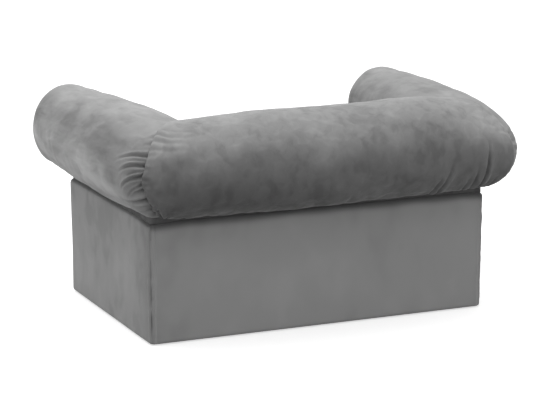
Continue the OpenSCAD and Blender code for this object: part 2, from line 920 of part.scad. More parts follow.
cushion_y0 = -base_d / 2 + cushion_front_set;
cushion_y1 = roll_y - corner_w / 2 - cushion_rear_gap;
cushion_front_w = 2 * (arm_in_x(arm_in_t(cushion_y0)) - cushion_side_gap);
cushion_rear_w = 2 * (arm_in_x(1) - cushion_side_gap);
zip_l = cushion_rear_w - 2 * (cushion_corner_r + zip_end);
cushion_z = base_h + soft_gap;
foam_z = cushion_z + (cushion_h - foam_t) / 2;
zip_z = cushion_z + cushion_h / 2;

// The foam core, grown by a gap for the space that it fills
module foam_core(gap) {
    fw = cushion_front_w / 2 - foam_margin + gap;
    rw = cushion_rear_w / 2 - foam_margin + gap;
    y0 = cushion_y0 + foam_margin - gap;
    y1 = cushion_y1 - foam_margin + gap;
    translate([0, 0, foam_z - gap])
        linear_extrude(foam_t + 2 * gap) polygon([[-fw, y0], [fw, y0], [rw, y1], [-rw, y1]]);
}

module cushion_foam() {
    centred() color("khaki") foam_core(0);
}

// The cushion's cover with its fibre wrap, open along the zip
module cushion_cover() {
    centred() color("darkgray") difference() {
        soft_pad(
            cushion_front_w, cushion_rear_w, cushion_y0, cushion_y1,
            cushion_corner_r, cushion_draw, cushion_z, cushion_h, cushion_crown
        );
        foam_core(soft_gap);
        block(
            [-zip_l / 2, cushion_y1 - foam_margin - over, zip_z - zip_chain_w / 2],
            [zip_l / 2, cushion_y1 + over, zip_z + zip_chain_w / 2]
        );
    }
}

// Zip tape and teeth across the rear border
module cushion_zip() {
    y = cushion_y1 + soft_gap;
    centred() color("dimgray") {
        block(
            [-zip_l / 2 - zip_chain_w, y, zip_z - zip_tape_w / 2],
            [zip_l / 2 + zip_chain_w, y + zip_tape_t, zip_z + zip_tape_w / 2]
        );
        block(
            [-zip_l / 2, y, zip_z - zip_chain_w / 2],
            [zip_l / 2, y + zip_tape_t + zip_chain_t, zip_z + zip_chain_w / 2]
        );
    }
}

// Slider that wraps the teeth, with its pull lying flat
module zip_slider() {
    y = cushion_y1 + soft_gap + zip_tape_t;
    x = -zip_l / 2 + slider_l;
    lip = soft_gap + zip_chain_t + soft_gap;
    centred() color("silver") {
        difference() {
            block(
                [x - slider_l / 2, y + soft_gap, zip_z - slider_w / 2],
                [x + slider_l / 2, y + lip + slider_wall, zip_z + slider_w / 2]
            );
            block(
                [x - slider_l, y, zip_z - zip_chain_w / 2 - soft_gap],
                [x + slider_l, y + lip, zip_z + zip_chain_w / 2 + soft_gap]
            );
        }
        translate([x, y + lip + slider_wall, zip_z]) rotate([-90, 0, 0]) linear_extrude(slider_wall) {
            translate([-puller_w / 2, 0]) square([puller_w, puller_l - puller_w / 2]);
            circle(puller_w / 2, $fn = hole_fn);
            translate([0, puller_l - puller_w / 2]) circle(puller_w / 2, $fn = hole_fn);
        }
    }
}

// Space that the hand pull's doubled webbing takes through the front
module tab_slot(depth) {
    translate([-tab_w / 2 - soft_gap, -depth, tab_place - tab_t - soft_gap])
        cube([tab_w + 2 * soft_gap, depth, 2 * tab_t + 2 * soft_gap]);
}

module drawer_front() {
    centred() color("burlywood") difference() {
        block(
            [-front_in_w / 2, -frame_d / 2, front_lift + front_edge_t],
            [front_in_w / 2, front_in_y - joint_gap, front_top - front_edge_t]
        );
        translate([0, front_in_y, 0]) tab_slot(2 * panel_t);
        both_sides() at_dowels() dowel_hole();
        tray_space(tray_groove);
        at_tab_screws() screw_hole(tab_screw_l());
    }
}
function tab_screw_l() = panel_t;

// The tray that lies in the grooves, grown by a gap
module tray_space(reach) {
    block(
        [-wall_in_x - reach, front_in_y - joint_gap - reach, tray_z],
        [wall_in_x + reach, wall_end - wall_t + reach, tray_z + tray_t]
    );
}

module dowel_hole() {
    translate([0, 0, -dowel_l / 2 - pin_gap]) cylinder(
        r = dowel_r + pin_gap, h = dowel_l / 2 + pin_gap + dowel_sink() + pin_gap, $fn = hole_fn
    );
}
function dowel_sink() = panel_t * 0.7;

// The right wall, grooved outside for its runner and inside for the bottom
module drawer_side() {
    centred() color("burlywood") difference() {
        block([wall_in_x, front_in_y, wall_z], [wall_out_x, wall_end, wall_z + wall_h]);
        block(
            [wall_out_x - runner_groove - run_gap, front_in_y - over, runner_z - run_gap],
            [wall_out_x + over, wall_end + over, runner_z + runner_h + run_gap]
        );
        tray_space(tray_groove);
        at_drawer_screws() screw_hole(drawer_screw_l());
        at_dowels() dowel_hole();
    }
}
function drawer_screw_l() = 3 * wall_t;

module drawer_right_side() {
    drawer_side();
}

module drawer_left_side() {
    mirror([1, 0, 0]) drawer_side();
}

module drawer_back() {
    centred() color("burlywood") difference() {
        block(
            [-wall_in_x, wall_end - wall_t, wall_z],
            [wall_in_x, wall_end, wall_z + wall_h]
        );
        tray_space(tray_groove);
        both_sides() at_drawer_screws() screw_hole(drawer_screw_l());
    }
}

module drawer_bottom() {
    into = tray_groove - joint_gap;
    centred() color("tan") block(
        [-wall_in_x - into, front_in_y - into, tray_z + joint_gap],
        [wall_in_x + into, wall_end - wall_t + into, tray_z + tray_t - joint_gap]
    );
}

module drawer_dowels() {
    centred() color("wheat") both_sides() at_dowels() translate([0, 0, -dowel_l / 2])
        cylinder(r = dowel_r, h = dowel_l / 2 + dowel_sink(), $fn = hole_fn);
}

module drawer_screws() {
    centred() color("silver") both_sides() at_drawer_screws() wood_screw(drawer_screw_l());
}

// Padded cover over the front and its edges
module drawer_front_cover() {
    mid_z = front_lift + front_h / 2;
    centred() color("gray") difference() {
        intersection() {
            translate([0, front_in_y - joint_gap, mid_z]) rotate([90, 0, 0])
                linear_extrude(panel_t + cover_t) rounded_rect(front_w, front_h, front_edge_t);
            translate([0, front_in_y - joint_gap, 0]) linear_extrude(base_h) difference() {
                translate([0, -(panel_t + cover_t) / 2 + over])
                    rounded_rect(front_w, panel_t + cover_t + 2 * over, front_edge_t);
            }
        }
        block(
            [-front_in_w / 2, -frame_d / 2, front_lift + front_edge_t],
            [front_in_w / 2, front_in_y + over, front_top - front_edge_t]
        );
        translate([0, front_in_y, 0]) tab_slot(3 * panel_t);
    }
}

module bed_pad() {
    w = 2 * (wall_in_x - pad_gap);
    centred() color("darkgray") soft_pad(
        w, w, front_in_y + pad_gap, wall_end - wall_t - pad_gap,
        pad_corner_r, pad_draw, pad_z + soft_gap, pad_h, pad_crown
    );
}

// Webbing folded into a finger loop, through the front and clamped behind it
module pull_tab() {
    face = base_d / 2;
    back = -front_in_y + joint_gap;
    loop_y = face + tab_loop_r + tab_t;
    centred() color("darkslategray") difference() {
        translate([-tab_w / 2, 0, tab_place]) rotate([90, 0, 90])
            mirror([1, 0, 0]) linear_extrude(tab_w) {
                difference() {
                    union() {
                        translate([loop_y, 0]) circle(tab_loop_r + tab_t, $fn = 48);
                        translate([back - soft_gap, -tab_t]) square([loop_y - back, 2 * tab_t]);
                    }
                    translate([loop_y, 0]) circle(tab_loop_r, $fn = 48);
                }
                translate([back - soft_gap - tab_t, -tab_flange_h / 2]) square([tab_t, tab_flange_h]);
            }
        at_tab_screws() screw_hole(tab_screw_l());
    }
}

// Screws of the clamp plate, one above and one below the webbing
module at_tab_screws() {
    for (z = [-1, 1])
        translate([0, front_in_y - joint_gap + soft_gap + 2 * tab_t, tab_place + z * tab_flange_h / 3])
            rotate([-90, 0, 0]) children();
}

module tab_plate() {
    y = front_in_y - joint_gap + soft_gap + tab_t;
    centred() color("silver") difference() {
        block(
            [-tab_w / 2, y, tab_place - tab_flange_h / 2],
            [tab_w / 2, y + tab_t, tab_place + tab_flange_h / 2]
        );
        at_tab_screws() screw_hole(tab_screw_l());
    }
}

module tab_screws() {
    centred() color("silver") at_tab_screws() wood_screw(tab_screw_l());
}

bottom_panel();
left_side_panel();
right_side_panel();
back_panel();
front_rail();
seat_deck();
left_arm_board();
right_arm_board();
back_board();
side_cleats();
back_cleat();
glue_blocks();
left_runner();
right_runner();
drawer_stops();
carcass_screws();
board_screws();
cleat_screws();
deck_screws();
runner_screws();
glides();
dust_cover();
left_base_cover();
right_base_cover();
back_base_cover();
deck_cover();
left_foam_wrap();
right_foam_wrap();
back_foam_wrap();
left_arm_roll();
right_arm_roll();
back_roll();
cushion_foam();
cushion_cover();
cushion_zip();
zip_slider();
drawer_front();
drawer_left_side();
drawer_right_side();
drawer_back();
drawer_bottom();
drawer_dowels();
drawer_screws();
drawer_front_cover();
bed_pad();
pull_tab();
tab_plate();
tab_screws();
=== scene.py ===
import math
import random

import bpy
import numpy as np
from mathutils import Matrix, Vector, noise
from mathutils.bvhtree import BVHTree


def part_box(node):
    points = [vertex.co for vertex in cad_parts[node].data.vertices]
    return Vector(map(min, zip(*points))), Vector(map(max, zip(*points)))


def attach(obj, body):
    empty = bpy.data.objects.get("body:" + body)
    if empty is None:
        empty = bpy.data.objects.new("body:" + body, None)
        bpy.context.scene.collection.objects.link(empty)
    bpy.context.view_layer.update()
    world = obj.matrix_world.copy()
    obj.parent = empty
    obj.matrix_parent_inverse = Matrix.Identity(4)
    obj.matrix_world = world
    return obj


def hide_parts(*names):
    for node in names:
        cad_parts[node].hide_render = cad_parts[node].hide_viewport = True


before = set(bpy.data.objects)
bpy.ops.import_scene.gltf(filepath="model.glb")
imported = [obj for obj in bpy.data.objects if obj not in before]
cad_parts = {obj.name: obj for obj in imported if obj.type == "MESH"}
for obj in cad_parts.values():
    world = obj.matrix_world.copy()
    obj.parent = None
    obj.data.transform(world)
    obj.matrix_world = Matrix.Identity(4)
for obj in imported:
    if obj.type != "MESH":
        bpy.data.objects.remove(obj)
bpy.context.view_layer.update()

# Wooden carcass
# Plywood panels and upright boards, a pine rail, cleats and glue blocks, and waxed hardwood
# runners and stops, glued and screwed together. The plies show in every sawn edge.


def linked(tree, *pairs):
    """Links outputs to inputs, pair by pair."""
    for source, socket in pairs:
        tree.links.new(source, socket)


def shader_group(name, **inputs):
    """A group on coordinates with those inputs, the sockets inside it that give them, and its ends."""
    group = bpy.data.node_groups.new(name, "ShaderNodeTree")
    for label, way, kind in (("Vector", "INPUT", "Vector"), ("Color", "OUTPUT", "Color"),
                             ("Roughness", "OUTPUT", "Float"), ("Height", "OUTPUT", "Float")):
        group.interface.new_socket(label, in_out=way, socket_type="NodeSocket" + kind)
    for label, value in inputs.items():
        kind = "Color" if isinstance(value, tuple) else "Float"
        socket = group.interface.new_socket(label, in_out="INPUT", socket_type="NodeSocket" + kind)
        socket.default_value = value
    return group, group.nodes.new("NodeGroupInput").outputs, group.nodes.new("NodeGroupOutput").inputs


def put_out(tree, ends, *values):
    """Links a group's colour, roughness and height to its ends."""
    for label, value in zip(("Color", "Roughness", "Height"), values):
        tree.links.new(value, ends[label])


def feed(tree, socket, value):
    """Links an output to an input, or sets the input to a value."""
    if isinstance(value, bpy.types.NodeSocket):
        tree.links.new(value, socket)
    else:
        socket.default_value = value


def texture(tree, kind, vector, output=0, **settings):
    """A texture node on those coordinates, and one of its outputs."""
    made = tree.nodes.new("ShaderNodeTex" + kind)
    feed(tree, made.inputs["Vector"], vector)
    for label, value in settings.items():
        feed(tree, made.inputs[label.replace("_", " ")], value)
    return made.outputs[output]


def mixed(tree, share, low, high):
    """A colour between two, by a share."""
    mix = tree.nodes.new("ShaderNodeMix")
    mix.data_type = "RGBA"
    for socket, value in zip((mix.inputs[0], mix.inputs[6], mix.inputs[7]), (share, low, high)):
        feed(tree, socket, value)
    return mix.outputs[2]


def ranged(tree, value, low, high, to_low=0.0, to_high=1.0):
    """A range of a value spread smoothly over another range."""
    made = tree.nodes.new("ShaderNodeMapRange")
    made.interpolation_type = "SMOOTHSTEP"
    for socket, v in zip(made.inputs, (value, low, high, to_low, to_high)):
        feed(tree, socket, v)
    return made.outputs[0]


def combined(tree, how, a, b, kind="Math"):
    """Two values, or two vectors, put together by a Math or a Vector Math node."""
    made = tree.nodes.new("ShaderNode" + kind)
    made.operation = how
    feed(tree, made.inputs[0], a)
    feed(tree, made.inputs[1], b)
    return made.outputs[0]


def grey(value):
    return (value, value, value, 1)


def finish_material(name, group, place=(0, 0, 0), scale=(1, 1, 1), turn=(0, 0, 0), bump=0.5,
                    depth=0.001, **values):
    """A material whose colour, roughness and relief come from a group on object coordinates."""
    made = bpy.data.materials.new(name)
    made.use_nodes = True
    tree = made.node_tree
    shader = tree.nodes["Principled BSDF"]
    coords, placed, looks, relief = (
        tree.nodes.new("ShaderNode" + kind) for kind in ("TexCoord", "Mapping", "Group", "Bump")
    )
    looks.node_tree = group
    for node, label, value in (
        (placed, "Location", place), (placed, "Rotation", turn), (placed, "Scale", scale),
        (relief, "Strength", bump), (relief, "Distance", depth),
    ):
        node.inputs[label].default_value = value
    linked(
        tree, (coords.outputs["Object"], placed.inputs["Vector"]),
        (placed.outputs[0], looks.inputs["Vector"]), (looks.outputs["Height"], relief.inputs["Height"]),
        (looks.outputs["Color"], shader.inputs["Base Color"]),
        (looks.outputs["Roughness"], shader.inputs["Roughness"]),
        (relief.outputs[0], shader.inputs["Normal"]),
    )
    for label, value in values.items():
        taker = looks if label in looks.inputs else shader
        taker.inputs[label.replace("_", " ")].default_value = value
    return made


def dress(made, slot, *names):
    """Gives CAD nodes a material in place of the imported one."""
    for name in names:
        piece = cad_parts[name]
        if not piece.material_slots:
            piece.data.materials.append(made)
        for s in piece.material_slots:
            s.material = made


# Sawn wood: growth rings drawn out along X, with pores, for pine and hardwood
wood, w_in, w_out = shader_group(
    "sawn_wood", Pale=(0.6, 0.42, 0.24, 1), Dark=(0.42, 0.27, 0.14, 1), Rings=26.0,
)
rings = texture(wood, "Wave", w_in["Vector"], 1, Scale=w_in["Rings"], Distortion=5.0, Detail=2.0,
                Detail_Scale=1.4)
drift = texture(wood, "Noise", w_in["Vector"], Scale=7.0, Detail=3.0)
pores = texture(wood, "Noise", w_in["Vector"], Scale=420.0, Detail=2.0)
ringed = mixed(wood, ranged(wood, rings, 0.25, 0.95, 0.0, 0.75), w_in["Pale"], w_in["Dark"])
put_out(
    wood, w_out, mixed(wood, ranged(wood, drift, 0.35, 0.8, 0.0, 0.5), ringed, w_in["Dark"]),
    ranged(wood, pores, 0.3, 0.7, 0.5, 0.72), pores,
)

# Plywood: veneers stacked along Z, each with its own shade, and face grain along X
plywood, p_in, p_out = shader_group(
    "veneered_plywood", Ply=0.0017, Face=(0.62, 0.45, 0.27, 1), Core=(0.36, 0.23, 0.12, 1),
)
split = plywood.nodes.new("ShaderNodeSeparateXYZ")
plywood.links.new(p_in["Vector"], split.inputs[0])
veneer = combined(plywood, "FLOOR", combined(plywood, "DIVIDE", split.outputs[2], p_in["Ply"]), 0.0)
odd = combined(plywood, "ABSOLUTE", combined(plywood, "MODULO", veneer, 2.0), 0.0)
grain = combined(plywood, "MULTIPLY", p_in["Vector"], (1.0, 9.0, 9.0), "VectorMath")
figure = texture(plywood, "Noise", grain, Scale=16.0, Detail=4.0, Distortion=0.8)
fibre = texture(plywood, "Noise", grain, Scale=160.0, Detail=2.0)
figured = ranged(plywood, figure, 0.35, 0.72, 0.0, 0.55)
faced = mixed(plywood, figured, p_in["Face"], (0.44, 0.28, 0.14, 1))
put_out(
    plywood, p_out, mixed(plywood, combined(plywood, "MULTIPLY", odd, 0.75), faced, p_in["Core"]),
    ranged(plywood, fibre, 0.3, 0.7, 0.55, 0.75), fibre,
)

# A panel's plies are stacked across its thin side, counted from the middle of a face veneer
across = {
    "bottom_panel": "z", "left_side_panel": "x", "right_side_panel": "x", "back_panel": "y",
    "seat_deck": "z", "left_arm_board": "x", "right_arm_board": "x", "back_board": "y",
    "drawer_front": "y", "drawer_left_side": "x", "drawer_right_side": "x", "drawer_back": "y",
    "drawer_bottom": "z",
}
quarter = math.pi / 2
for name, axis in across.items():
    low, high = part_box(name)
    start = getattr(low, axis)
    thick = getattr(high, axis) - start
    plies = 3 if thick < 0.007 else 5 if thick < 0.01 else 7
    turn, offset = {
        "x": ((0, -quarter, 0), -start), "y": ((quarter, 0, 0), start + thick), "z": ((0, 0, 0), -start),
    }[axis]
    panel = finish_material(name + "_plywood", plywood, place=(0, 0, offset), turn=turn, bump=0.25,
                            depth=0.0003, Ply=thick / plies)
    dress(panel, "plywood", name)
pine = finish_material("planed_pine", wood, scale=(0.3, 2.0, 2.0), bump=0.2, depth=0.0003,
                       Pale=(0.68, 0.5, 0.29, 1), Dark=(0.5, 0.31, 0.15, 1), Rings=22.0)
dress(pine, "pine", "front_rail", "side_cleats", "back_cleat", "glue_blocks")
hardwood = finish_material("waxed_hardwood", wood, scale=(2.5, 0.3, 2.5), bump=0.15, depth=0.0002,
                           Pale=(0.42, 0.26, 0.14, 1), Dark=(0.28, 0.16, 0.08, 1), Rings=30.0)
dress(hardwood, "hardwood", "left_runner", "right_runner", "drawer_stops", "drawer_dowels")

# Screws and glides
# Zinc-plated countersunk wood screws, and black moulded glides nailed under the bottom panel.
worn, s_in, s_out = shader_group(
    "rubbed_surface", Main=grey(0.5), Rubbed=grey(0.6), Fineness=300.0, Dullness=0.4,
)
specks = texture(worn, "Noise", s_in["Vector"], Scale=s_in["Fineness"], Detail=4.0)
clouds = texture(worn, "Noise", s_in["Vector"], Scale=60.0, Detail=2.0)
dulled = combined(worn, "ADD", s_in["Dullness"], ranged(worn, specks, 0.3, 0.7, -0.06, 0.1))
put_out(
    worn, s_out, mixed(worn, ranged(worn, clouds, 0.35, 0.7), s_in["Main"], s_in["Rubbed"]), dulled, specks,
)

zinc = finish_material("zinc_plate", worn, bump=0.1, depth=0.0001, Main=(0.62, 0.62, 0.6, 1),
                       Rubbed=(0.75, 0.75, 0.72, 1), Dullness=0.32, Metallic=1.0)
dress(zinc, "screw_steel", "carcass_screws", "board_screws", "cleat_screws", "deck_screws",
      "runner_screws", "drawer_screws", "tab_plate", "tab_screws")
moulded = finish_material("moulded_black", worn, bump=0.2, depth=0.0002, Main=(0.02, 0.02, 0.021, 1),
                          Rubbed=grey(0.05), Dullness=0.5)
dress(moulded, "glide_plastic", "glides")

# Base covers
# Grey plush velvet over thin padding, glued to the panels. It goes round the front edges of
# the sides, is sewn up the two rear corners, folds in at the top and is turned under below.
nap, v_in, v_out = shader_group(
    "velvet_nap", Pile=grey(0.25), Crushed=grey(0.18), Brushed=grey(0.33), Patches=11.0, Marks=0.5, Lay=1.0,
)
# Patches where the pile was pushed aside are soft-edged, and the strokes in them run downwards
sway = texture(nap, "Noise", v_in["Vector"], 1, Scale=combined(nap, "MULTIPLY", v_in["Patches"], 3.0))
off_middle = combined(nap, "SUBTRACT", sway, (0.5, 0.5, 0.5), "VectorMath")
swayed = combined(nap, "MULTIPLY", off_middle, (0.022, 0.022, 0.022), "VectorMath")
bent = combined(nap, "ADD", v_in["Vector"], swayed, "VectorMath")
downwards = combined(nap, "MULTIPLY", bent, (1.0, 1.0, 0.6), "VectorMath")
broad = texture(nap, "Noise", bent, Scale=v_in["Patches"], Detail=2.0, Roughness=0.5)
strokes = texture(nap, "Noise", downwards, Scale=combined(nap, "MULTIPLY", v_in["Patches"], 4.2),
                  Detail=1.6, Roughness=0.5)
pile = texture(nap, "Noise", v_in["Vector"], Scale=1100.0, Detail=2.0, Roughness=0.6)
brushed_way = combined(nap, "ADD", combined(nap, "MULTIPLY", broad, 1.5), -0.25)
stroke_way = combined(nap, "MULTIPLY", combined(nap, "SUBTRACT", strokes, 0.5), v_in["Marks"])
way_of_pile = combined(nap, "ADD", brushed_way, combined(nap, "MULTIPLY", stroke_way, 3.0))
pushed = mixed(nap, ranged(nap, way_of_pile, 0.1, 0.5), v_in["Crushed"], v_in["Pile"])
ridged = mixed(nap, ranged(nap, way_of_pile, 0.5, 0.95), pushed, v_in["Brushed"])
tufted = mixed(nap, ranged(nap, pile, 0.35, 0.75, 0.0, 0.14), ridged, v_in["Brushed"])
# Painted light and shade: the colour is multiplied by the group's last input, 1 where there is none
with_painted_shading = mixed(nap, 1.0, tufted, v_in["Lay"])
with_painted_shading.node.blend_type = "MULTIPLY"
put_out(
    nap, v_out, with_painted_shading, ranged(nap, strokes, 0.3, 0.7, 0.95, 0.82),
    combined(nap, "ADD", strokes, combined(nap, "MULTIPLY", pile, 0.06)),
)

stretched_velvet, rear_velvet, side_velvet = (
    finish_material(
        name, nap, bump=0.3, depth=0.0012, Pile=grey(shade), Crushed=grey(0.86 * shade),
        Brushed=grey(1.08 * shade), Patches=patches, Marks=marks, Sheen_Weight=0.2, Sheen_Roughness=0.4,
        Specular_IOR_Level=0.15,
    )
    for name, shade, patches, marks in (
        ("velvet_stretched", 0.385, 5.0, 0.15), ("velvet_rear", 0.385, 5.0, 0.3),
        ("velvet_sides", 0.405, 8.0, 0.5),
    )
)


def painted_shading_from_points(*materials):
    """Multiplies a material's colour by painted light and shade stored on a mesh's points."""
    for material in materials:
        tree = material.node_tree
        painted_shading_read = tree.nodes.new("ShaderNodeAttribute")
        painted_shading_read.attribute_name = "painted_shading"
        looks = next(node for node in tree.nodes if node.type == "GROUP")
        tree.links.new(painted_shading_read.outputs["Fac"], looks.inputs["Lay"])


def store_painted_shading(piece, painted_shading):
    """Stores painted light and shade on the points of a skinned grid, with one for each middle point."""
    values = piece.data.attributes.new("painted_shading", "FLOAT", "POINT")
    values.data.foreach_set("value", np.append(painted_shading.ravel(), [1.0, 1.0]).astype(np.float32))


painted_shading_from_points(rear_velvet, side_velvet)


def lumps(points, size, seed):
    """Smooth noise at points, in bumps of that size."""
    shift = Vector((seed * 1.7, seed * 2.3, seed * 3.1))
    flat = points.reshape(-1, 3) / size
    return np.array([noise.noise(Vector(p) + shift) for p in flat]).reshape(points.shape[:-1])


def bell(value, middle, width):
    """One at the middle, and next to nothing from twice that width on."""
    return np.exp(-(((value - middle) / width) ** 2))


def added(name, data):
    """A new object in the scene."""
    piece = bpy.data.objects.new(name, data)
    bpy.context.scene.collection.objects.link(piece)
    return piece


def smoothed(mesh):
    mesh.polygons.foreach_set("use_smooth", np.ones(len(mesh.polygons), bool))


def skinned(name, grid, made):
    """A tube through a grid of rings, closed by a middle point at each end."""
    rows, n = grid.shape[:2]
    points = np.vstack([grid.reshape(-1, 3), grid[0].mean(0), grid[-1].mean(0)])
    j = np.arange(n)
    k = (j + 1) % n
    flat = np.concatenate([
        np.stack([i * n + j, i * n + k, (i + 1) * n + k, (i + 1) * n + j], 1) for i in range(rows - 1)
    ])
    first = np.stack([np.full(n, rows * n), k, j], 1)
    last = np.stack([np.full(n, rows * n + 1), (rows - 1) * n + j, (rows - 1) * n + k], 1)
    tri = np.concatenate([flat[:, [0, 1, 2]], flat[:, [0, 2, 3]], first, last])
    a, b, c = (points[tri[:, i]] for i in range(3))
    if np.einsum("ij,ij->i", a, np.cross(b, c)).sum() < 0:
        flat, first, last = flat[:, ::-1], first[:, ::-1], last[:, ::-1]
    mesh = bpy.data.meshes.new(name)
    mesh.from_pydata(points.tolist(), [], flat.tolist() + first.tolist() + last.tolist())
    smoothed(mesh)
    mesh.materials.append(made)
    return added(name, mesh)


cover_lo, cover_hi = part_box("right_base_cover")
base_x, base_front, base_rear = cover_hi.x, cover_lo.y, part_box("back_base_cover")[1].y
base_top, base_low = cover_hi.z, cover_lo.z
cover_t = 0.005
hem_t = 0.002
hem_w = 0.022
hem_r = 0.0025
panel_t = 0.012
edge_r = 0.006
corner_r = 0.007
path_step = 0.0032
tiny = 0.0001


def arc(x, z, r, start, end, count):
    """Points of an arc between two angles in degrees."""
    a = np.radians(np.linspace(start, end, count))
    return np.stack([x + r * np.cos(a), z + r * np.sin(a)], 1)


# Section of a side: depth inwards from the face, and height
wall_z = np.linspace(base_low + hem_r, base_top - edge_r, 66)[1:-1]
cover_section = np.vstack([
    [[-hem_w, base_low], [-0.012, base_low]],
    arc(-hem_r, base_low + hem_r, hem_r, -90, 0, 6),
    np.stack([np.zeros(len(wall_z)), wall_z], 1),
    arc(-edge_r, base_top - edge_r, edge_r, 0, 90, 10),
    [[-cover_t - panel_t, base_top], [-cover_t - panel_t, base_top - cover_t],
     [-cover_t, base_top - cover_t], [-cover_t, base_low + hem_t], [-hem_w, base_low + hem_t]],
])


def walk(*stretches):
    """Plan path of a cover: each stretch has points and the direction in which it faces."""
    return [np.vstack(parts) for parts in zip(*stretches)]


def straight(start, end, facing):
    count = max(3, int(math.dist(start, end) / path_step))
    return np.linspace(start, end, count), np.tile(facing, (count, 1)).astype(float)


def corner(x, y, start, end, count):
    """A rounded upright corner about x and y."""
    a = np.radians(np.linspace(start, end, count))
    facing = np.stack([np.cos(a), np.sin(a)], 1)
    return np.array([x, y]) + corner_r * facing, facing


def cover_rings(path, two_seams, band, reach, dark, seed):
    """Rings of a padded cover along its path, drawn in at its seams, and its painted shading: a painted
    shadow below the top edge and painted shade by the seams.
    """
    at, facing = path
    step = np.linalg.norm(np.diff(at, axis=0), axis=1)
    run = np.concatenate([[0], np.cumsum(step)])
    near = run[-1] - run
    if two_seams:
        near = np.minimum(near, run)
    near = near[:, None]
    d, z = cover_section.T
    flat = np.broadcast_to(at[:, None, :], (len(at), len(d), 2))
    spot = np.dstack([flat, np.broadcast_to(z, flat.shape[:2])])
    pad = 0.0022 + 0.0018 * np.clip((z - base_low) / (base_top - base_low), 0, 1)
    pad = pad + 0.0008 * lumps(spot, 0.09, seed) + 0.0003 * lumps(spot, 0.035, seed + 5)
    tight = np.dstack([spot[:, :, :2] * 0.3, spot[:, :, 2]])
    pucker = 0.0011 * lumps(tight, 0.012, seed + 9) * np.exp(-near / 0.011)
    uneven = np.clip(0.8 + 1.2 * lumps(tight * [0, 0, 1], 0.03, 13), 0.2, 1.6)
    drawn = 0.0006 * uneven * bell(near, 0, 0.004)
    fade = np.clip((z - base_low) / 0.005, 0, 1) ** 0.5 * np.clip((base_top - z) / 0.008, 0, 1) ** 0.5
    pad = pad - 0.0012 * bell(near, 0, reach)
    outer = d > -cover_t + tiny
    upper = np.where(outer | (z > base_top - tiny), np.clip((z - base_top + 0.03) / 0.03, 0, 1) ** 1.5, 0)
    slumped = 0.0034 * bell(near, 0, 0.03) * upper
    lift = np.where(outer, (pad + 0.0004 + pucker) * fade - drawn, 0.0)
    deep = np.minimum(d, 0)[None, :, None] + lift[:, :, None]
    plan = flat + facing[:, None, :] * deep
    far = -d[None, :]
    inside = far > corner_r
    for axis, low, high in ((0, -base_x, base_x), (1, base_front, base_rear)):
        held = np.clip(plan[:, :, axis], low + far, high - far)
        plan[:, :, axis] = np.where(inside, held, plan[:, :, axis])
    # Painted shadow in a wavy band below the top edge, where the rolls overhang, and painted shade by the
    # corner seams, strongest in a narrow line at the seam
    wavy = band * (1 + 0.35 * lumps(tight * [1, 1, 0], 0.02, seed + 11))
    painted_shadow_below_top = 0.6 * bell(np.maximum(base_top - z - 0.3 * wavy, 0), 0, 0.6 * wavy)
    painted_shade_by_seam = dark * bell(near, 0, reach) + 0.16 * uneven * bell(near, 0, 0.0022)
    return np.dstack([plan, spot[:, :, 2] - slumped]), (1 - painted_shadow_below_top) * (1 - painted_shade_by_seam)


cx, cf, cr = base_x - corner_r, base_front + corner_r, base_rear - corner_r
side_path = walk(
    straight((base_x - cover_t - panel_t, base_front), (cx, base_front), (0, -1)),
    corner(cx, cf, -90, 0, 9),
    straight((base_x, cf), (base_x, cr), (1, 0)),
    corner(cx, cr, 0, 45, 8),
)
rear_path = walk(
    corner(cx, cr, 45, 90, 8),
    straight((cx, base_rear), (-cx, base_rear), (0, 1)),
    corner(-cx, cr, 90, 135, 8),
)
flipped = np.array([-1, 1, 1])
# band is the height of the painted shadow under the rolls, dark the strength of the painted shade by the
# seams
for stood_for, turned, fabric, path, looks in (
    ("right_base_cover", (1, 1, 1), side_velvet, side_path,
     dict(two_seams=False, band=0.0055, reach=0.034, dark=0.24, seed=3)),
    ("left_base_cover", flipped, side_velvet, side_path,
     dict(two_seams=False, band=0.0055, reach=0.034, dark=0.24, seed=17)),
    ("back_base_cover", (1, 1, 1), rear_velvet, rear_path,
     dict(two_seams=True, band=0.013, reach=0.012, dark=0.1, seed=29)),
):
    rings, painted_shading = cover_rings(path, **looks)
    cover = skinned(stood_for.replace("base_cover", "cover"), rings * turned, fabric)
    store_painted_shading(cover, painted_shading)
    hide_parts(stood_for)
    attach(cover, "carcass")

# Foam over the upright boards
# Open-cell foam folded over each board and glued to it, hidden inside the rolls.
open_cells, c_in, c_out = shader_group("open_cells", Skin=(0.75, 0.68, 0.46, 1), Hollow=(0.5, 0.43, 0.25, 1))
bubbles = texture(open_cells, "Voronoi", c_in["Vector"], Scale=420.0)
put_out(
    open_cells, c_out,
    mixed(open_cells, ranged(open_cells, bubbles, 0.1, 0.6), c_in["Hollow"], c_in["Skin"]),
    ranged(open_cells, bubbles, 0.0, 1.0, 0.85, 0.95), bubbles,
)
foam = finish_material("open_cell_foam", open_cells, depth=0.0006)
dress(foam, "foam", "left_foam_wrap", "right_foam_wrap", "back_foam_wrap")

# Rolls
# Three tubes of plush velvet stuffed with fibre, closed round the padded boards. The arms
# end in rounded noses. At the rear corners they are gathered into a mitred seam, which
# draws the velvet into folds, mostly on the arms.
plush_looks = {
    "Pile": grey(0.29), "Crushed": grey(0.235), "Brushed": grey(0.34), "Patches": 12.0, "Marks": 0.45,
    "bump": 0.6, "depth": 0.006, "Sheen_Roughness": 0.4,
}
plush, back_plush, arm_plush = (
    finish_material(name, nap, scale=scale, Sheen_Weight=0.25, Specular_IOR_Level=0.15, **plush_looks)
    for name, scale in (
        ("velvet_plush", (1, 1, 1)), ("velvet_back", (1, 1, 1)), ("velvet_arms", (0.9, 0.42, 1.5)),
    )
)
painted_shading_from_points(back_plush, arm_plush)
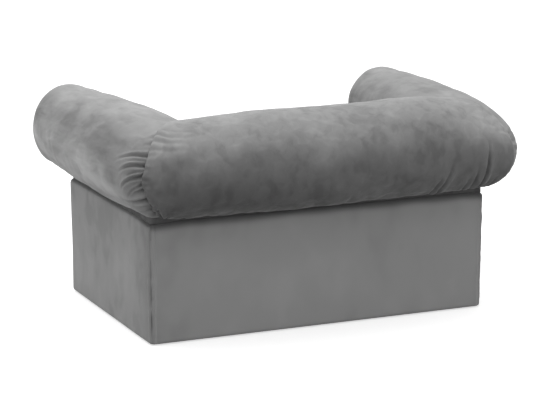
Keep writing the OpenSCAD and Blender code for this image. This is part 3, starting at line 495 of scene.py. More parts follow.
# Sizes in millimetres, at the front, halfway and at the rear corner, and for the back's middle
arm_w, arm_h, arm_lift = (134, 170, 182), (152, 162, 160), (12, 4, 3)
arm_x, arm_y, nose_l = 305, -210, 62
turn_x, turn_y, turn_w, turn_h, turn_lift = 272, 191, 182, 160, 3
turn_out, crease = 72, 9
mid_y, mid_w, mid_h, mid_lift = 205, 188, 169, 4
to_middle = -13.5
seat_z = 210
seat_gap = 0.3
mitre_gap = 0.3
# A roll's mean radius, and how far the neck reaches to the side and to the rear
roll_r, neck_half, neck_rear = 84, 310, 185.5
# Distances from the seam: to the corner's end, on to the arm's, and from the corner to the middle
corner_run, arm_run, back_run = 50, 400, 260
nose_end = corner_run + arm_run + nose_l
around = 300
theta = np.linspace(0, 2 * np.pi, around, endpoint=False)
side, top = np.cos(theta), np.sin(theta)
degrees_round = (np.degrees(theta) + 180) % 360 - 180
upwards = np.clip(top, 0, 1)


def through(a, b, c, t):
    """Smooth curve through three values, at 0, at a half and at 1."""
    return a * (1 - t) * (1 - 2 * t) + b * 4 * t * (1 - t) + c * t * (2 * t - 1)


def swell(a, b, t):
    """Curve that leaves one value at once and levels off at the other."""
    return b - (b - a) * (1 - t) ** 2


# Radius on which each line of a roll turns the corner: wide outside, creased inside
wide = turn_out - turn_w / 2 + side * turn_w / 2 - crease
turn_r = crease + (wide + np.sqrt(wide**2 + 64)) / 2
run_end = side * turn_w / 2 - turn_r


def turn_ring(a):
    """Ring of the corner, turned by an angle from the arm's end."""
    u = side * turn_w / 2
    return np.stack([
        turn_x + u - turn_r + turn_r * np.cos(a),
        turn_y + u - turn_r + turn_r * np.sin(a),
        seat_z + turn_lift + turn_h / 2 + top * turn_h / 2,
    ], 1)


near_seam = 45 * (1 - (1 - np.linspace(0, 1, 52)) ** 1.5)


def arm_rings(slant):
    """Rings of the right arm from its nose to the mitre, and how far each is from the seam."""
    rings, far = [], []
    half_h = arm_h[0] / 2
    front = arm_y + slant * (1 - side) / 2
    for a in np.radians(np.linspace(2, 90, 30))[:-1]:
        out, s = np.cos(a) ** 0.9, np.sin(a) ** 0.9
        rings.append(np.stack([
            arm_x + side * s * arm_w[0] / 2,
            arm_y + slant * (1 - side * s) / 2 - out * nose_l,
            seat_z + arm_lift[0] + half_h + top * s * half_h,
        ], 1))
        far.append(corner_run + arm_run + out * nose_l)
    for t in np.linspace(0, 1, 140)[:-1]:
        half_w, half_h = through(*arm_w, t) / 2, through(*arm_h, t) / 2
        rings.append(np.stack([
            arm_x + (turn_x - arm_x) * t + side * half_w,
            front + (turn_y + run_end - front) * t,
            seat_z + through(*arm_lift, t) + half_h + top * half_h,
        ], 1))
        far.append(corner_run + (1 - t) * arm_run)
    for a in near_seam:
        rings.append(turn_ring(np.radians(a)))
        far.append(corner_run * (1 - a / 45))
    return np.array(rings), np.array(far)


def back_half():
    """Rings of the right half of the back roll, from the mitre to the middle."""
    rings, far = [], []
    for a in near_seam[::-1]:
        ring = turn_ring(np.radians(a))
        rings.append(ring[:, [1, 0, 2]] + [turn_x - turn_y, turn_y - turn_x, 0])
        far.append(corner_run * (1 - a / 45))
    start = turn_x + run_end
    for t in np.linspace(0, 1, 132)[1:] ** 1.35:
        rings.append(np.stack([
            start * (1 - t),
            swell(turn_y, mid_y, t) + side * swell(turn_w, mid_w, t) / 2,
            seat_z + swell(turn_lift, mid_lift, t) + (1 + top) * swell(turn_h, mid_h, t) / 2,
        ], 1))
        far.append(corner_run + t * back_run)
    return np.array(rings), np.array(far)


def faces_out(rings):
    """Unit normals over a grid of rings, away from the roll's middle."""
    normal = np.cross(np.roll(rings, -1, 1) - np.roll(rings, 1, 1), np.gradient(rings, axis=0))
    normal /= np.maximum(np.linalg.norm(normal, axis=2, keepdims=True), 1e-9)
    away = rings - rings.mean(1, keepdims=True)
    return normal if (away * normal).sum() > 0 else -normal


def ridge_and_groove(off):
    """Section of a fold: a groove between a high and a low ridge."""
    return 0.6 * bell(off, 1.9, 1.2) + 0.4 * bell(off, -1.9, 1.2) - bell(off, 0, 1)


def gathers(far, table, seed):
    """Folds that run from the seam: angle, lean, length, width and depth, and 1 for one that crosses."""
    total = np.zeros((len(far), around))
    far = far[:, None]
    chance = random.Random(seed)
    for start, lean, length, width, depth, crosses in table:
        wander = chance.uniform(0, 6.28)
        line = start + lean * far / 10 * (0.5 + far / 80)
        line = line + 1.6 * np.sin(far / 22 + wander) * np.clip(far / 20, 0, 1)
        broad = width * (1 + 0.5 * np.exp(-far / 14))
        off = np.radians(degrees_round - line) * roll_r / broad
        fade = np.clip(1 - far / length, 0, 1) ** 0.8 * (1 - (1 - crosses) * np.exp(-far / 1.2))
        total += depth * fade * ridge_and_groove(off)
    return total


def pleats(far, table):
    """Folds that rise from the lower edge: how far from the seam below and above, top, width, depth."""
    total = np.zeros((len(far), around))
    for low_at, high_at, upper, width, depth in table:
        rise = np.clip((degrees_round + 85) / (upper + 85), 0, 1)
        line = low_at + (high_at - low_at) * rise**1.5
        fade = np.clip((upper - degrees_round) / 28, 0, 1) * np.clip((degrees_round + 100) / 14, 0, 1)
        total += depth * fade * ridge_and_groove((far[:, None] - line) / width)
    return total


def stuffed(rings, far, folds, pull, reach, seed):
    """The rings with the seam's pull, its folds and the dents of a stuffed cover."""
    far = far[:, None]
    spot = rings / 1000
    hanging = spot * [1, 1, 0.35]
    lower = np.clip((20 - degrees_round) / 60, 0, 1) * (degrees_round > -120)
    lift = 2.0 * lumps(spot, 0.085, seed) + 1.1 * lumps(spot, 0.04, seed + 4)
    lift += 0.4 * lumps(hanging, 0.017, seed + 8)
    slack = (1 - 0.8 * bell(far, 0, 80)) * np.clip((nose_end - far) / 30, 0, 1)
    lift += (0.5 + 3.4 * lower) * slack * (np.abs(lumps(hanging, 0.03, seed + 12)) - 0.2)
    loose = 1 - 0.85 * bell(degrees_round, 80, 55)
    drawn = 4 * loose + (pull - 3) * bell(degrees_round, -8, 38)
    lift = lift - drawn * np.exp(-((far / reach) ** 1.25)) + folds
    placed = rings + faces_out(rings) * lift[:, :, None]
    placed[:, :, 1] += to_middle
    return placed


def settled_on_seat(placed, far, clear):
    """Rests a roll on the seat, flat below and that far off the base outside the neck, in metres."""
    x, y, z = np.moveaxis(placed, 2, 0)
    past = np.maximum(np.abs(x) - neck_half, y - neck_rear)
    out = np.clip(past / 55, 0, 1)
    by_corner = bell(far, 0, 80)[:, None]
    low = np.clip((z - seat_z) / 30, 0, 1)
    z += 2.0 * low - 2.5 * (1 - low) ** 2 * (1 - out)
    at_left = x < 0
    z -= np.where(at_left, 22.5 * by_corner * out * np.clip(0.45 + 0.75 * top, 0, 1), 0)
    x -= np.where(at_left, 9.0 * (bell(degrees_round, -42, 24) * by_corner * out), 0)
    off_base = clear[:, None] * np.clip((past + 34) / 30, 0, 1)
    above = z - seat_z - seat_gap - off_base
    z += (np.sqrt(above**2 + 9) - above) / 2 - 0.4
    np.maximum(z, seat_z + seat_gap, out=z)
    return placed / 1000


right_arm_folds = [
    (31, -1.3, 84, 2.5, 4.6, 0), (25, -1.8, 42, 1.9, 3.8, 0), (19, -1.9, 62, 2.8, 7.4, 0),
    (12, -3.4, 40, 1.9, 3.6, 0), (7, -3.6, 60, 2.7, 7.4, 0), (-2, -5.6, 42, 2.1, 4.6, 0),
    (-13, -2.4, 28, 3.2, 5.4, 0), (-31, -0.1, 84, 3.4, 7.0, 0), (-48, 1.0, 62, 2.6, 2.8, 0),
    (58, -0.6, 34, 3.6, 1.8, 1), (47, -1.4, 26, 2.6, 1.2, 1), (85, 3, 30, 4.0, 0.8, 0),
    (110, 2, 34, 4.0, 1.2, 0), (140, 0, 40, 4.0, 2.0, 0), (170, 0, 34, 3.0, 2.4, 0),
    (-160, 0, 34, 3.0, 2.4, 0), (-130, 0, 30, 3.0, 1.6, 0),
]
left_arm_folds = [(a, 1.3 * lean, 0.7 * length, 1.3 * width, 0.2 * depth, c)
                  for a, lean, length, width, depth, c in right_arm_folds]
back_folds = [
    (59, -0.6, 86, 3.6, 2.4, 1), (50, -0.5, 70, 3.4, 2.0, 1), (38, -0.2, 76, 3.8, 1.8, 0),
    (30, 0.6, 50, 3.0, 1.2, 0), (14, 1.0, 13, 2.4, 1.2, 0), (0, 1.0, 12, 2.2, 1.4, 0),
    (-14, 1.0, 14, 2.4, 1.4, 0), (-38, 3, 22, 3.0, 2.0, 0), (-52, 6, 30, 3.2, 2.4, 0),
    (120, 0, 40, 4.0, 1.4, 0), (150, 0, 34, 3.5, 2.2, 0), (175, 0, 30, 3.0, 2.4, 0),
    (-150, 0, 30, 3.0, 2.0, 0),
]
arm_pleats = [(70, 56, -38, 5.0, 1.4), (98, 82, -46, 6.0, 1.3), (132, 118, -40, 6.0, 1.0),
              (176, 168, -48, 7.0, 0.9)]
near_pleats = [(24, 12, -30, 3.6, 2.2), (46, 38, -42, 4.0, 1.8), (74, 70, -34, 5.0, 1.3),
               (112, 108, -44, 6.0, 1.0)]
far_pleats = [(68, 62, 22, 2.6, 4.6), (82, 80, -8, 2.6, 3.4), (93, 92, -28, 2.8, 3.4),
              (140, 126, -4, 3.2, 4.0), (152, 138, -18, 3.6, 3.5), (48, 44, -34, 3.0, 3.0)]
rolls = {}
for sense, name, seed, slant, arm_folds, pull, rise, rise_reach in (
    (1, "right_arm", 2, 0, right_arm_folds, 17, 9.5, 62),
    (-1, "left_arm", 31, 42, left_arm_folds, 12, 11.5, 110),
):
    rows, far = arm_rings(slant)
    folds = gathers(far, arm_folds, seed) + pleats(far, arm_pleats)
    placed = stuffed(rows - [0, mitre_gap, 0], far, folds, pull, reach=16, seed=seed)
    x, z = placed[:, :, 0], placed[:, :, 2]
    away = far[:, None]
    # A pocket and a dip by the seam, and the nose's own form
    x -= 5 * np.exp(-(((away - 13) / 9) ** 2) - ((degrees_round + 9) / 6) ** 2)
    z -= 5 * bell(away, 45, 45) * upwards**2
    before_tip = np.clip((nose_end - away) / 40, 0, 1)
    at_nose = np.clip((away - 380) / 70, 0, 1) * before_tip
    if sense < 0:
        z -= 3.5 * (np.clip((away - 250) / 150, 0, 1) * before_tip) * upwards
        x -= 5.0 * at_nose * bell(np.abs(degrees_round), 160, 32)
    else:
        z += 5.0 * at_nose * bell(degrees_round, -80, 42)
    clear = 4 + rise * bell(far, 0, rise_reach)
    rolls[name] = settled_on_seat(placed * [sense, 1, 1], far, clear), far, folds
rows, far = back_half()
rows = rows - [mitre_gap, 0, 0]
rows = np.concatenate([rows, (rows * flipped)[-2::-1]])
far = np.concatenate([far, far[-2::-1]])
right_half = rows[:, 0, 0] >= 0
no_seam = 999
right_far, left_far = np.where(right_half, far, no_seam), np.where(right_half, no_seam, far)
folds = gathers(right_far, back_folds, 47) + 0.25 * gathers(left_far, back_folds, 49)
folds += pleats(right_far, near_pleats) + pleats(left_far, far_pleats)
placed = stuffed(rows, far, folds, pull=7, reach=8, seed=47)
x, z = placed[:, :, 0], placed[:, :, 2]
# The back's ends bulge over the arms, with a puckered edge
bulge = np.exp(-((far / 20) ** 1.5))[:, None] * bell(degrees_round, -4, 25)
scallop = 1 + 0.5 * lumps(rows / 1000, 0.009, 53)
x += np.where(rows[:, :, 0] > 0, 7.5 * scallop, -1.5) * bulge
# Its top isn't level: it sags in the middle and stands a little higher before the left corner
z += (4.6 * bell(x, -178, 72) - 2.4 * bell(x, -5, 80)) * upwards
clear = 4 + 9.5 * bell(right_far, 0, 62) + 11.5 * np.clip((200 - rows[:, 0, 0]) / 500, 0, 1)
rolls["back"] = settled_on_seat(placed, far, clear), far, folds
# Painted light and shade by the angle round a roll: darker on the underside and rear of the back and on the
# arms' inner sides, lighter on the arms' lower outer sides and on the back's top
arm_painted_light = ((-180, 1.0), (-95, 1.75), (-22, 2.0), (8, 1.18), (36, 0.88), (66, 1.14), (108, 1.2),
           (150, 0.88), (180, 0.85))
back_painted_light = ((-180, 0.9), (-95, 0.52), (-40, 0.57), (8, 0.69), (38, 0.96), (70, 1.06), (88, 1.14),
            (104, 1.3), (130, 1.15), (180, 1.0))
beyond_seam = np.interp(degrees_round, *zip(*back_painted_light))
for name, (placed, far, folds) in rolls.items():
    is_back = name == "back"
    roll = skinned(name + "_bolster", placed, back_plush if is_back else arm_plush)
    away = far[:, None]
    wander = 22 * lumps(placed, 0.05, 83)
    painted_shading = np.interp(degrees_round + wander, *zip(*(back_painted_light if is_back else arm_painted_light)))
    # Painted highlight on the top of the far corner, on the back and the left arm
    at_far_corner = np.where(placed[:, :1, 0] < 0, bell(away, 0, 90), 0)
    painted_shading *= 1 + 0.33 * at_far_corner * bell(degrees_round, 45, 28)
    # Painted shading on the back's lower rear: lighter towards its left end, darker towards its right
    if is_back:
        below = bell(degrees_round, -50, 35) * (1 - at_far_corner)
        painted_shading *= 1 + below * np.clip(0.06 - placed[:, :, 0], -0.17, 0.24)
    else:
        is_right = name == "right_arm"
        # By the seam the right arm takes painted shade and the left arm painted light, and at the nose the
        # painted light is evened out
        at_seam = np.maximum(0.8, 0.9 * beyond_seam) if is_right else np.maximum(1.3, beyond_seam)
        painted_shading -= (painted_shading - at_seam) * bell(away, 0, 75)
        painted_shading -= (painted_shading - 1.1) * np.clip((away - 455) / 45, 0, 1)
        # A painted shade patch high on the arm's outer side, about 140 mm from the seam
        painted_shading *= 1 - 0.4 * (bell(away, 140, 50) * bell(degrees_round, 18, 22))
        if is_right:
            # Painted highlight along the right arm's top, with painted shade on it near the seam
            painted_light_on_top = 0.14 * bell(away, 165, 50) - 0.17 * bell(away, 0, 85)
            painted_shading *= 1 + painted_light_on_top * bell(degrees_round, 98, 32)
        else:
            # Painted shade over the left arm, except by the seam
            painted_shading *= 1 - 0.09 * np.clip(away / 120, 0, 1)
        # Painted light on the arms' lower outer sides towards the front
        low_front = np.clip((away - 180) / 150, 0, 1) * bell(degrees_round, -40, 35)
        painted_shading *= 1 + 0.17 * low_front
    # Painted shade in the folds' grooves and painted light on their ridges
    store_painted_shading(roll, painted_shading * np.clip(1 + 0.055 * folds, 0.6, 1.2))
    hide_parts(name + "_roll")
    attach(roll, "carcass")

# Neck under the rolls
# A strip of the same velvet closes the rolls at the base's top, all round the padded boards,
# where the rolls lift off the base and the seat. Its colour is halved, as painted shade under the rolls.
# Painted shade: the neck's velvet colour is multiplied by a half, with less sheen
neck_shaded_velvet = finish_material("velvet_neck_painted_shade", nap, Lay=0.5, Sheen_Weight=0.1, Specular_IOR_Level=0.1,
                         **plush_looks)
neck_r = 0.003


def neck_turn(x, y, first):
    """A turn of the neck's path, of 70 degrees about x and y."""
    return [(x + neck_r * math.cos(a), y + neck_r * math.sin(a))
            for a in np.radians(np.linspace(first, first + 70, 5))]


side_wrap, back_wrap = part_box("right_foam_wrap"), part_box("back_foam_wrap")
neck_x, neck_y = side_wrap[1].x + 0.0025, back_wrap[1].y + 0.0015
neck_in, neck_front = side_wrap[0].x - 0.0015, side_wrap[0].y - 0.0015
neck_inner_y = back_wrap[0].y - 0.0015
neck_way = [(x, neck_inner_y) for x in np.linspace(0.0003, neck_in - 0.004, 60)]
neck_way += [(neck_in, y) for y in np.linspace(neck_inner_y - 0.004, neck_front + neck_r, 60)]
neck_way += neck_turn(neck_in + neck_r, neck_front + neck_r, 190)
neck_way += neck_turn(neck_x - neck_r, neck_front + neck_r, 280)
neck_way += [(neck_x, y) for y in np.linspace(neck_front + 0.005, neck_y - neck_r, 60)]
neck_way += neck_turn(neck_x - neck_r, neck_y - neck_r, 10)
neck_way += [(x, neck_y) for x in np.linspace(neck_x - neck_r, 0, 60)]
neck_way = np.array(neck_way + [(-x, y) for x, y in neck_way[-2::-1]])
along_neck = np.gradient(neck_way, axis=0)
outwards = np.column_stack([along_neck[:, 1], -along_neck[:, 0]])
outwards /= np.linalg.norm(outwards, axis=1, keepdims=True)
neck_section = [(0.0, 0.0), (0.0, 0.006), (0.0, 0.012), (0.0003, 0.0185), (0.0012, 0.019), (0.0016, 0.012),
                (0.0018, 0.006), (0.0016, 0.0)]
tallness = 1.15 + 1.3 * bell(neck_way[:, 1], neck_front, 0.06)
neck_rows = np.array([
    [(p[0] + n[0] * deep, p[1] + n[1] * deep, base_top - 0.003 + tall * z) for deep, z in neck_section]
    for p, n, tall in zip(neck_way, outwards, tallness)
])
neck_rows[:, 4:, :2] += outwards[:, None, :] * 0.0006 * lumps(neck_rows[:, 4:], 0.01, 91)[:, :, None]
neck = skinned("neck_velvet", neck_rows, neck_shaded_velvet)
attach(neck, "carcass")

# Deck cover
# The seat's velvet over thin wadding. It lies on the deck between the upright boards, turns
# down over the front rail and is stapled under it.
deck_lo, deck_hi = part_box("deck_cover")
deck_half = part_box("seat_deck")[1].x
flap = np.linspace(deck_lo.z + hem_r, deck_hi.z - edge_r, 14)[1:-1]
lie = np.linspace(base_front + edge_r, deck_hi.y, 116)[1:]
ear_end = base_front + cover_t + panel_t
deck_section = np.vstack([
    [[ear_end, deck_lo.z], [base_front + 0.009, deck_lo.z]],
    arc(base_front + hem_r, deck_lo.z + hem_r, hem_r, -90, -180, 6),
    np.stack([np.full(len(flap), base_front), flap], 1),
    arc(base_front + edge_r, deck_hi.z - edge_r, edge_r, 180, 90, 10),
    np.stack([lie, np.full(len(lie), deck_hi.z)], 1),
    [[deck_hi.y, deck_hi.z - cover_t], [base_front + cover_t, deck_hi.z - cover_t],
     [base_front + cover_t, deck_lo.z + hem_t], [ear_end, deck_lo.z + hem_t]],
])
is_top = (deck_section[:, 1] > deck_hi.z - tiny) & (deck_section[:, 0] > base_front + edge_r)
is_front = deck_section[:, 0] < base_front + tiny
ear_section = deck_section.copy()
short = (ear_end - base_front - edge_r) / (deck_hi.y - base_front - edge_r)
long_part = deck_section[:, 0] > ear_end + tiny
for part in (is_top, long_part):
    y = deck_section[part, 0]
    ear_section[part, 0] = base_front + edge_r + (y - base_front - edge_r) * short
stations = [(x, ear_section) for x in np.linspace(deck_lo.x, -deck_half, 4)]
stations += [(x, deck_section) for x in np.linspace(-deck_half, deck_half, 160)]
stations += [(x, ear_section) for x in np.linspace(deck_half, deck_hi.x, 4)]
rows = np.array([np.column_stack([np.full(len(s), x), s]) for x, s in stations])
rows[:, is_top, 2] -= 0.0004 + 0.0005 * np.abs(lumps(rows[:, is_top], 0.05, 41))
rows[:, is_front, 1] -= 0.0003 + 0.0008 * lumps(rows[:, is_front], 0.07, 43)
deck = skinned("deck_velvet", rows, stretched_velvet)
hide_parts("deck_cover")
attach(deck, "carcass")

# Seat cushion
# A loose box cushion: a foam core in a fibre wrap, and a velvet cover that is sewn round its
# upper and lower edges and drawn in a little along its sides.


def pad_plan(front_w, rear_w, y0, y1, r, draw):
    """Plan of a pad with round corners and drawn-in sides, counter-clockwise from the front."""
    corners = np.array([[front_w / 2, y0], [rear_w / 2, y1], [-rear_w / 2, y1], [-front_w / 2, y0]])
    edges = np.roll(corners, -1, 0) - corners
    normals = np.column_stack([edges[:, 1], -edges[:, 0]]) / np.linalg.norm(edges, axis=1)[:, None]
    before = np.roll(normals, 1, 0)
    meet = (before * normals).sum(1)
    centres = corners - (normals + before) * r / (1 + meet)[:, None]
    points = []
    for k in range(4):
        n, m, start, end = before[k], normals[k], centres[k], centres[(k + 1) % 4]
        for a in np.linspace(0, math.acos(meet[k]), 9):
            points.append(start + r * (n * math.cos(a) + np.array([-n[1], n[0]]) * math.sin(a)))
        pull = 0 if k == 1 else draw
        for t in np.linspace(0, 1, 34)[1:-1]:
            points.append(start + (end - start) * t + m * (r - pull * 4 * t * (1 - t)))
    return np.array(points)


def middle_and_half(plan):
    return (plan.min(0) + plan.max(0)) / 2, (plan.max(0) - plan.min(0)) / 2


def pad_rings(plan, z, h, crown, slack):
    """Rings of a stuffed pad from its flat bottom up its border and over its crown."""
    middle, half = middle_and_half(plan)
    half = half - slack
    plan = middle + (plan - middle) * (half / (half + slack))
    rings = [np.column_stack([middle + (plan - middle) * s, np.full(len(plan), z)]) for s in (0.3, 0.6, 0.82)]
    for b in np.linspace(0, 1, 17):
        inset = np.interp(b, (0, 0.12, 0.28, 0.72, 0.88, 1), (0.22, 0.07, 0, 0, 0.07, 0.24)) * h
        ring = middle + (plan - middle) * (1 - inset / half)
        rings.append(np.column_stack([ring, np.full(len(ring), z + b * (h - slack))]))
    lip = rings[-1][:, :2]
    for s in (0.93, 0.84, 0.73, 0.6, 0.45, 0.3, 0.15):
        ring = middle + (lip - middle) * s
        rise = (1 - ((ring - middle) / half) ** 2).prod(1)
        rings.append(np.column_stack([ring, z + h - slack + crown * np.clip(rise, 0, 1)]))
    return np.array(rings)


def settled(piece):
    """The piece's mesh with its modifiers applied, as a new mesh."""
    graph = bpy.context.evaluated_depsgraph_get()
    graph.update()
    mesh = bpy.data.meshes.new_from_object(piece.evaluated_get(graph), depsgraph=graph)
    piece.modifiers.clear()
    piece.data = mesh
    return mesh


def points_of(mesh):
    co = np.zeros(len(mesh.vertices) * 3)
    mesh.vertices.foreach_get("co", co)
    return co.reshape(-1, 3)


def inflated(pads, most, frames=20):
    """Fills pads by a cloth simulation under pressure, with no point moving further than most."""
    before = []
    for pad in pads:
        remesh = pad.modifiers.new("even", "REMESH")
        remesh.mode = "VOXEL"
        remesh.voxel_size = 0.006
        before.append(points_of(settled(pad)))
        cloth = pad.modifiers.new("filled", "CLOTH")
        for label, value in (
            ("quality", 5), ("mass", 0.3), ("tension_stiffness", 14), ("compression_stiffness", 14),
            ("bending_stiffness", 0.6), ("shrink_min", -0.05), ("use_pressure", True),
            ("uniform_pressure_force", 4),
        ):
            setattr(cloth.settings, label, value)
        cloth.settings.effector_weights.gravity = 0
        cloth.point_cache.frame_start = 1
        cloth.point_cache.frame_end = frames
    for step in range(1, frames + 1):
        bpy.context.scene.frame_set(step)
    for pad, start in zip(pads, before):
        mesh = settled(pad)
        moved = points_of(mesh) - start
        far = np.linalg.norm(moved, axis=1, keepdims=True)
        held = start + moved * np.minimum(1, most / np.maximum(far, 1e-9))
        mesh.vertices.foreach_set("co", held.ravel())
    bpy.context.scene.frame_set(1)


def kept_in(pad, plan, z, shrink):
    """Holds a pad above its seat and inside its plan."""
    mesh = pad.data
    co = points_of(mesh)
    middle, half = middle_and_half(plan)
    inner = middle + (plan - middle) * (1 - shrink / half)
    around_plan = np.arctan2(*(inner - middle).T[::-1])
    order = np.argsort(around_plan)
    reach = np.linalg.norm(inner - middle, axis=1)[order]
    angle = np.arctan2(co[:, 1] - middle[1], co[:, 0] - middle[0])
    limit = np.interp(angle, around_plan[order], reach, period=2 * math.pi)
    radius = np.linalg.norm(co[:, :2] - middle, axis=1)
    co[:, :2] = middle + (co[:, :2] - middle) * np.minimum(1, limit / np.maximum(radius, 1e-9))[:, None]
    co[:, 2] = np.maximum(co[:, 2], z)
    mesh.vertices.foreach_set("co", co.ravel())


cushion_lo, cushion_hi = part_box("cushion_cover")
cushion_front = 2 * 0.22850
cushion_rear = 2 * 0.17650
cushion_plan = pad_plan(cushion_front, cushion_rear, cushion_lo.y, cushion_hi.y, r=0.034, draw=0.004)
cushion_rows = pad_rings(cushion_plan, cushion_lo.z, h=0.060, crown=0.020, slack=0.002)
cushion = skinned("seat_cushion_cover", cushion_rows, plush)
core_plan = pad_plan(
    cushion_front - 0.05, cushion_rear - 0.05, cushion_lo.y + 0.022, cushion_hi.y - 0.018, r=0.026,
    draw=0.012,
)
core_rows = pad_rings(core_plan, cushion_lo.z + 0.010, h=0.040, crown=0.006, slack=0.001)
core = skinned("cushion_core", core_rows, foam)
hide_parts("cushion_foam")
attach(core, "seat_cushion")
pad_lo, pad_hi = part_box("bed_pad")
bed_w = pad_hi.x - pad_lo.x
bed_plan = pad_plan(bed_w, bed_w, pad_lo.y, pad_hi.y, r=0.024, draw=0.004)
bed_rows = pad_rings(bed_plan, pad_lo.z, h=0.034, crown=0.010, slack=0.001)
bed_pad = skinned("bed_pad_cover", bed_rows, plush)
inflated([cushion, bed_pad], most=0.010)
kept_in(cushion, cushion_plan, cushion_lo.z, shrink=0.003)
kept_in(bed_pad, bed_plan, pad_lo.z, shrink=0.001)


def seam_round(pad, plan, z):
    """Path of a seam round a pad's border at a height, on its surface."""
    surface = BVHTree.FromPolygons(
        [v.co for v in pad.data.vertices], [p.vertices[:] for p in pad.data.polygons]
    )
    middle = middle_and_half(plan)[0]
    path = []
    for x, y in plan:
        way = Vector((middle[0] - x, middle[1] - y, 0)).normalized()
        hit = surface.ray_cast(Vector((x, y, z)) - way * 0.03, way)[0]
        if hit:
            path.append(hit + way * 0.0004)
    return path


def geometry_group(name, **inputs):
    """A Geometry Nodes tree with those inputs, the sockets inside it that give them, and its ends."""
    group = bpy.data.node_groups.new(name, "GeometryNodeTree")
    group.is_modifier = True
    group.interface.new_socket("Geometry", in_out="INPUT", socket_type="NodeSocketGeometry")
    group.interface.new_socket("Geometry", in_out="OUTPUT", socket_type="NodeSocketGeometry")
    for label, kind in inputs.items():
        group.interface.new_socket(label, in_out="INPUT", socket_type="NodeSocket" + kind)
    return group, group.nodes.new("NodeGroupInput").outputs, group.nodes.new("NodeGroupOutput").inputs


def step_of(tree, kind, mode="", **inputs):
    """A node of a Geometry Nodes tree, with those input values."""
    made = tree.nodes.new("GeometryNode" + kind)
    if mode:
        made.mode = mode
    for label, value in inputs.items():
        made.inputs[label.replace("_", " ")].default_value = value
    return made


welt, e_in, e_out = geometry_group("sewn_welt", Radius="Float", Fabric="Material")
line = step_of(welt, "MeshToCurve")
even = step_of(welt, "ResampleCurve", "LENGTH", Length=0.004)
ring = step_of(welt, "CurvePrimitiveCircle", Resolution=8)
tube = step_of(welt, "CurveToMesh", Fill_Caps=True)
real = step_of(welt, "RealizeInstances")
painted = step_of(welt, "SetMaterial")
linked(
    welt, (e_in["Geometry"], line.inputs[0]), (line.outputs[0], even.inputs["Curve"]),
    (e_in["Radius"], ring.inputs["Radius"]), (even.outputs[0], tube.inputs["Curve"]),
    (ring.outputs[0], tube.inputs["Profile Curve"]), (tube.outputs[0], real.inputs[0]),
    (real.outputs[0], painted.inputs["Geometry"]), (e_in["Fabric"], painted.inputs["Material"]),
    (painted.outputs[0], e_out[0]),
)


def laid(name, group, paths, closed, **values):
    """The mesh that a Geometry Nodes tree makes along those paths."""
    points, edges = [], []
    for path in paths:
        at, n = len(points), len(path)
        points += [tuple(p) for p in path]
        edges += [(at + i, at + i + 1) for i in range(n - 1)]
        if closed:
            edges.append((at + n - 1, at))
    mesh = bpy.data.meshes.new(name)
    mesh.from_pydata(points, edges, [])
    piece = added(name, mesh)
    maker = piece.modifiers.new("laid", "NODES")
    maker.node_group = group
    for item in group.interface.items_tree:
        if item.in_out == "INPUT" and item.name in values:
            maker[item.identifier] = values[item.name]
    smoothed(settled(piece))
    return piece


cushion_seams = laid(
    "cushion_welts", welt,
    [seam_round(cushion, cushion_plan, cushion_lo.z + z) for z in (0.007, 0.055)], True,
    Radius=0.0016, Fabric=plush,
)
bed_seams = laid(
    "bed_pad_welts", welt,
    [seam_round(bed_pad, bed_plan, pad_lo.z + z) for z in (0.005, 0.030)], True,
    Radius=0.0014, Fabric=plush,
)
for pad, stood_for, body, seams, fill in (
    (cushion, "cushion_cover", "seat_cushion", cushion_seams, 0.7),
    (bed_pad, "bed_pad", "pull_out", bed_seams, 0.6),
):
    rounder = pad.modifiers.new("rounder", "SUBSURF")
    rounder.levels = rounder.render_levels = 1
    settled(pad)
    smoothed(pad.data)
    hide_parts(stood_for)
    for part in (pad, seams):
        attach(part, body)

# Cushion zip
# A nylon coil zip on woven tape across the cushion's rear border, sewn along both edges of the
# tape, with an enamelled slider that wraps the teeth.
woven, t_in, t_out = shader_group(
    "woven_tape", Thread=(0.05, 0.05, 0.052, 1), Shade=(0.02, 0.02, 0.021, 1), Threads=260.0,
)
warp = texture(woven, "Wave", t_in["Vector"], 1, Scale=t_in["Threads"], Distortion=0.4)
weft = texture(woven, "Wave", t_in["Vector"], 1, Scale=t_in["Threads"])
weft.node.bands_direction = "Z"
crossing = combined(woven, "MULTIPLY", warp, weft)
put_out(
    woven, t_out, mixed(woven, crossing, t_in["Shade"], t_in["Thread"]),
    ranged(woven, crossing, 0.0, 1.0, 0.9, 0.7), crossing,
)
tape_cloth = finish_material("zip_tape", woven, depth=0.0003)
nylon = finish_material("nylon_teeth", worn, bump=0.1, depth=0.0001, Main=(0.04, 0.04, 0.042, 1),
                        Rubbed=(0.07, 0.07, 0.072, 1), Dullness=0.4)
enamel = finish_material("slider_enamel", worn, bump=0.1, depth=0.0001, Main=(0.07, 0.07, 0.072, 1),
                         Rubbed=grey(0.16), Dullness=0.28, Metallic=0.6)
dress(enamel, "slider_metal", "zip_slider")

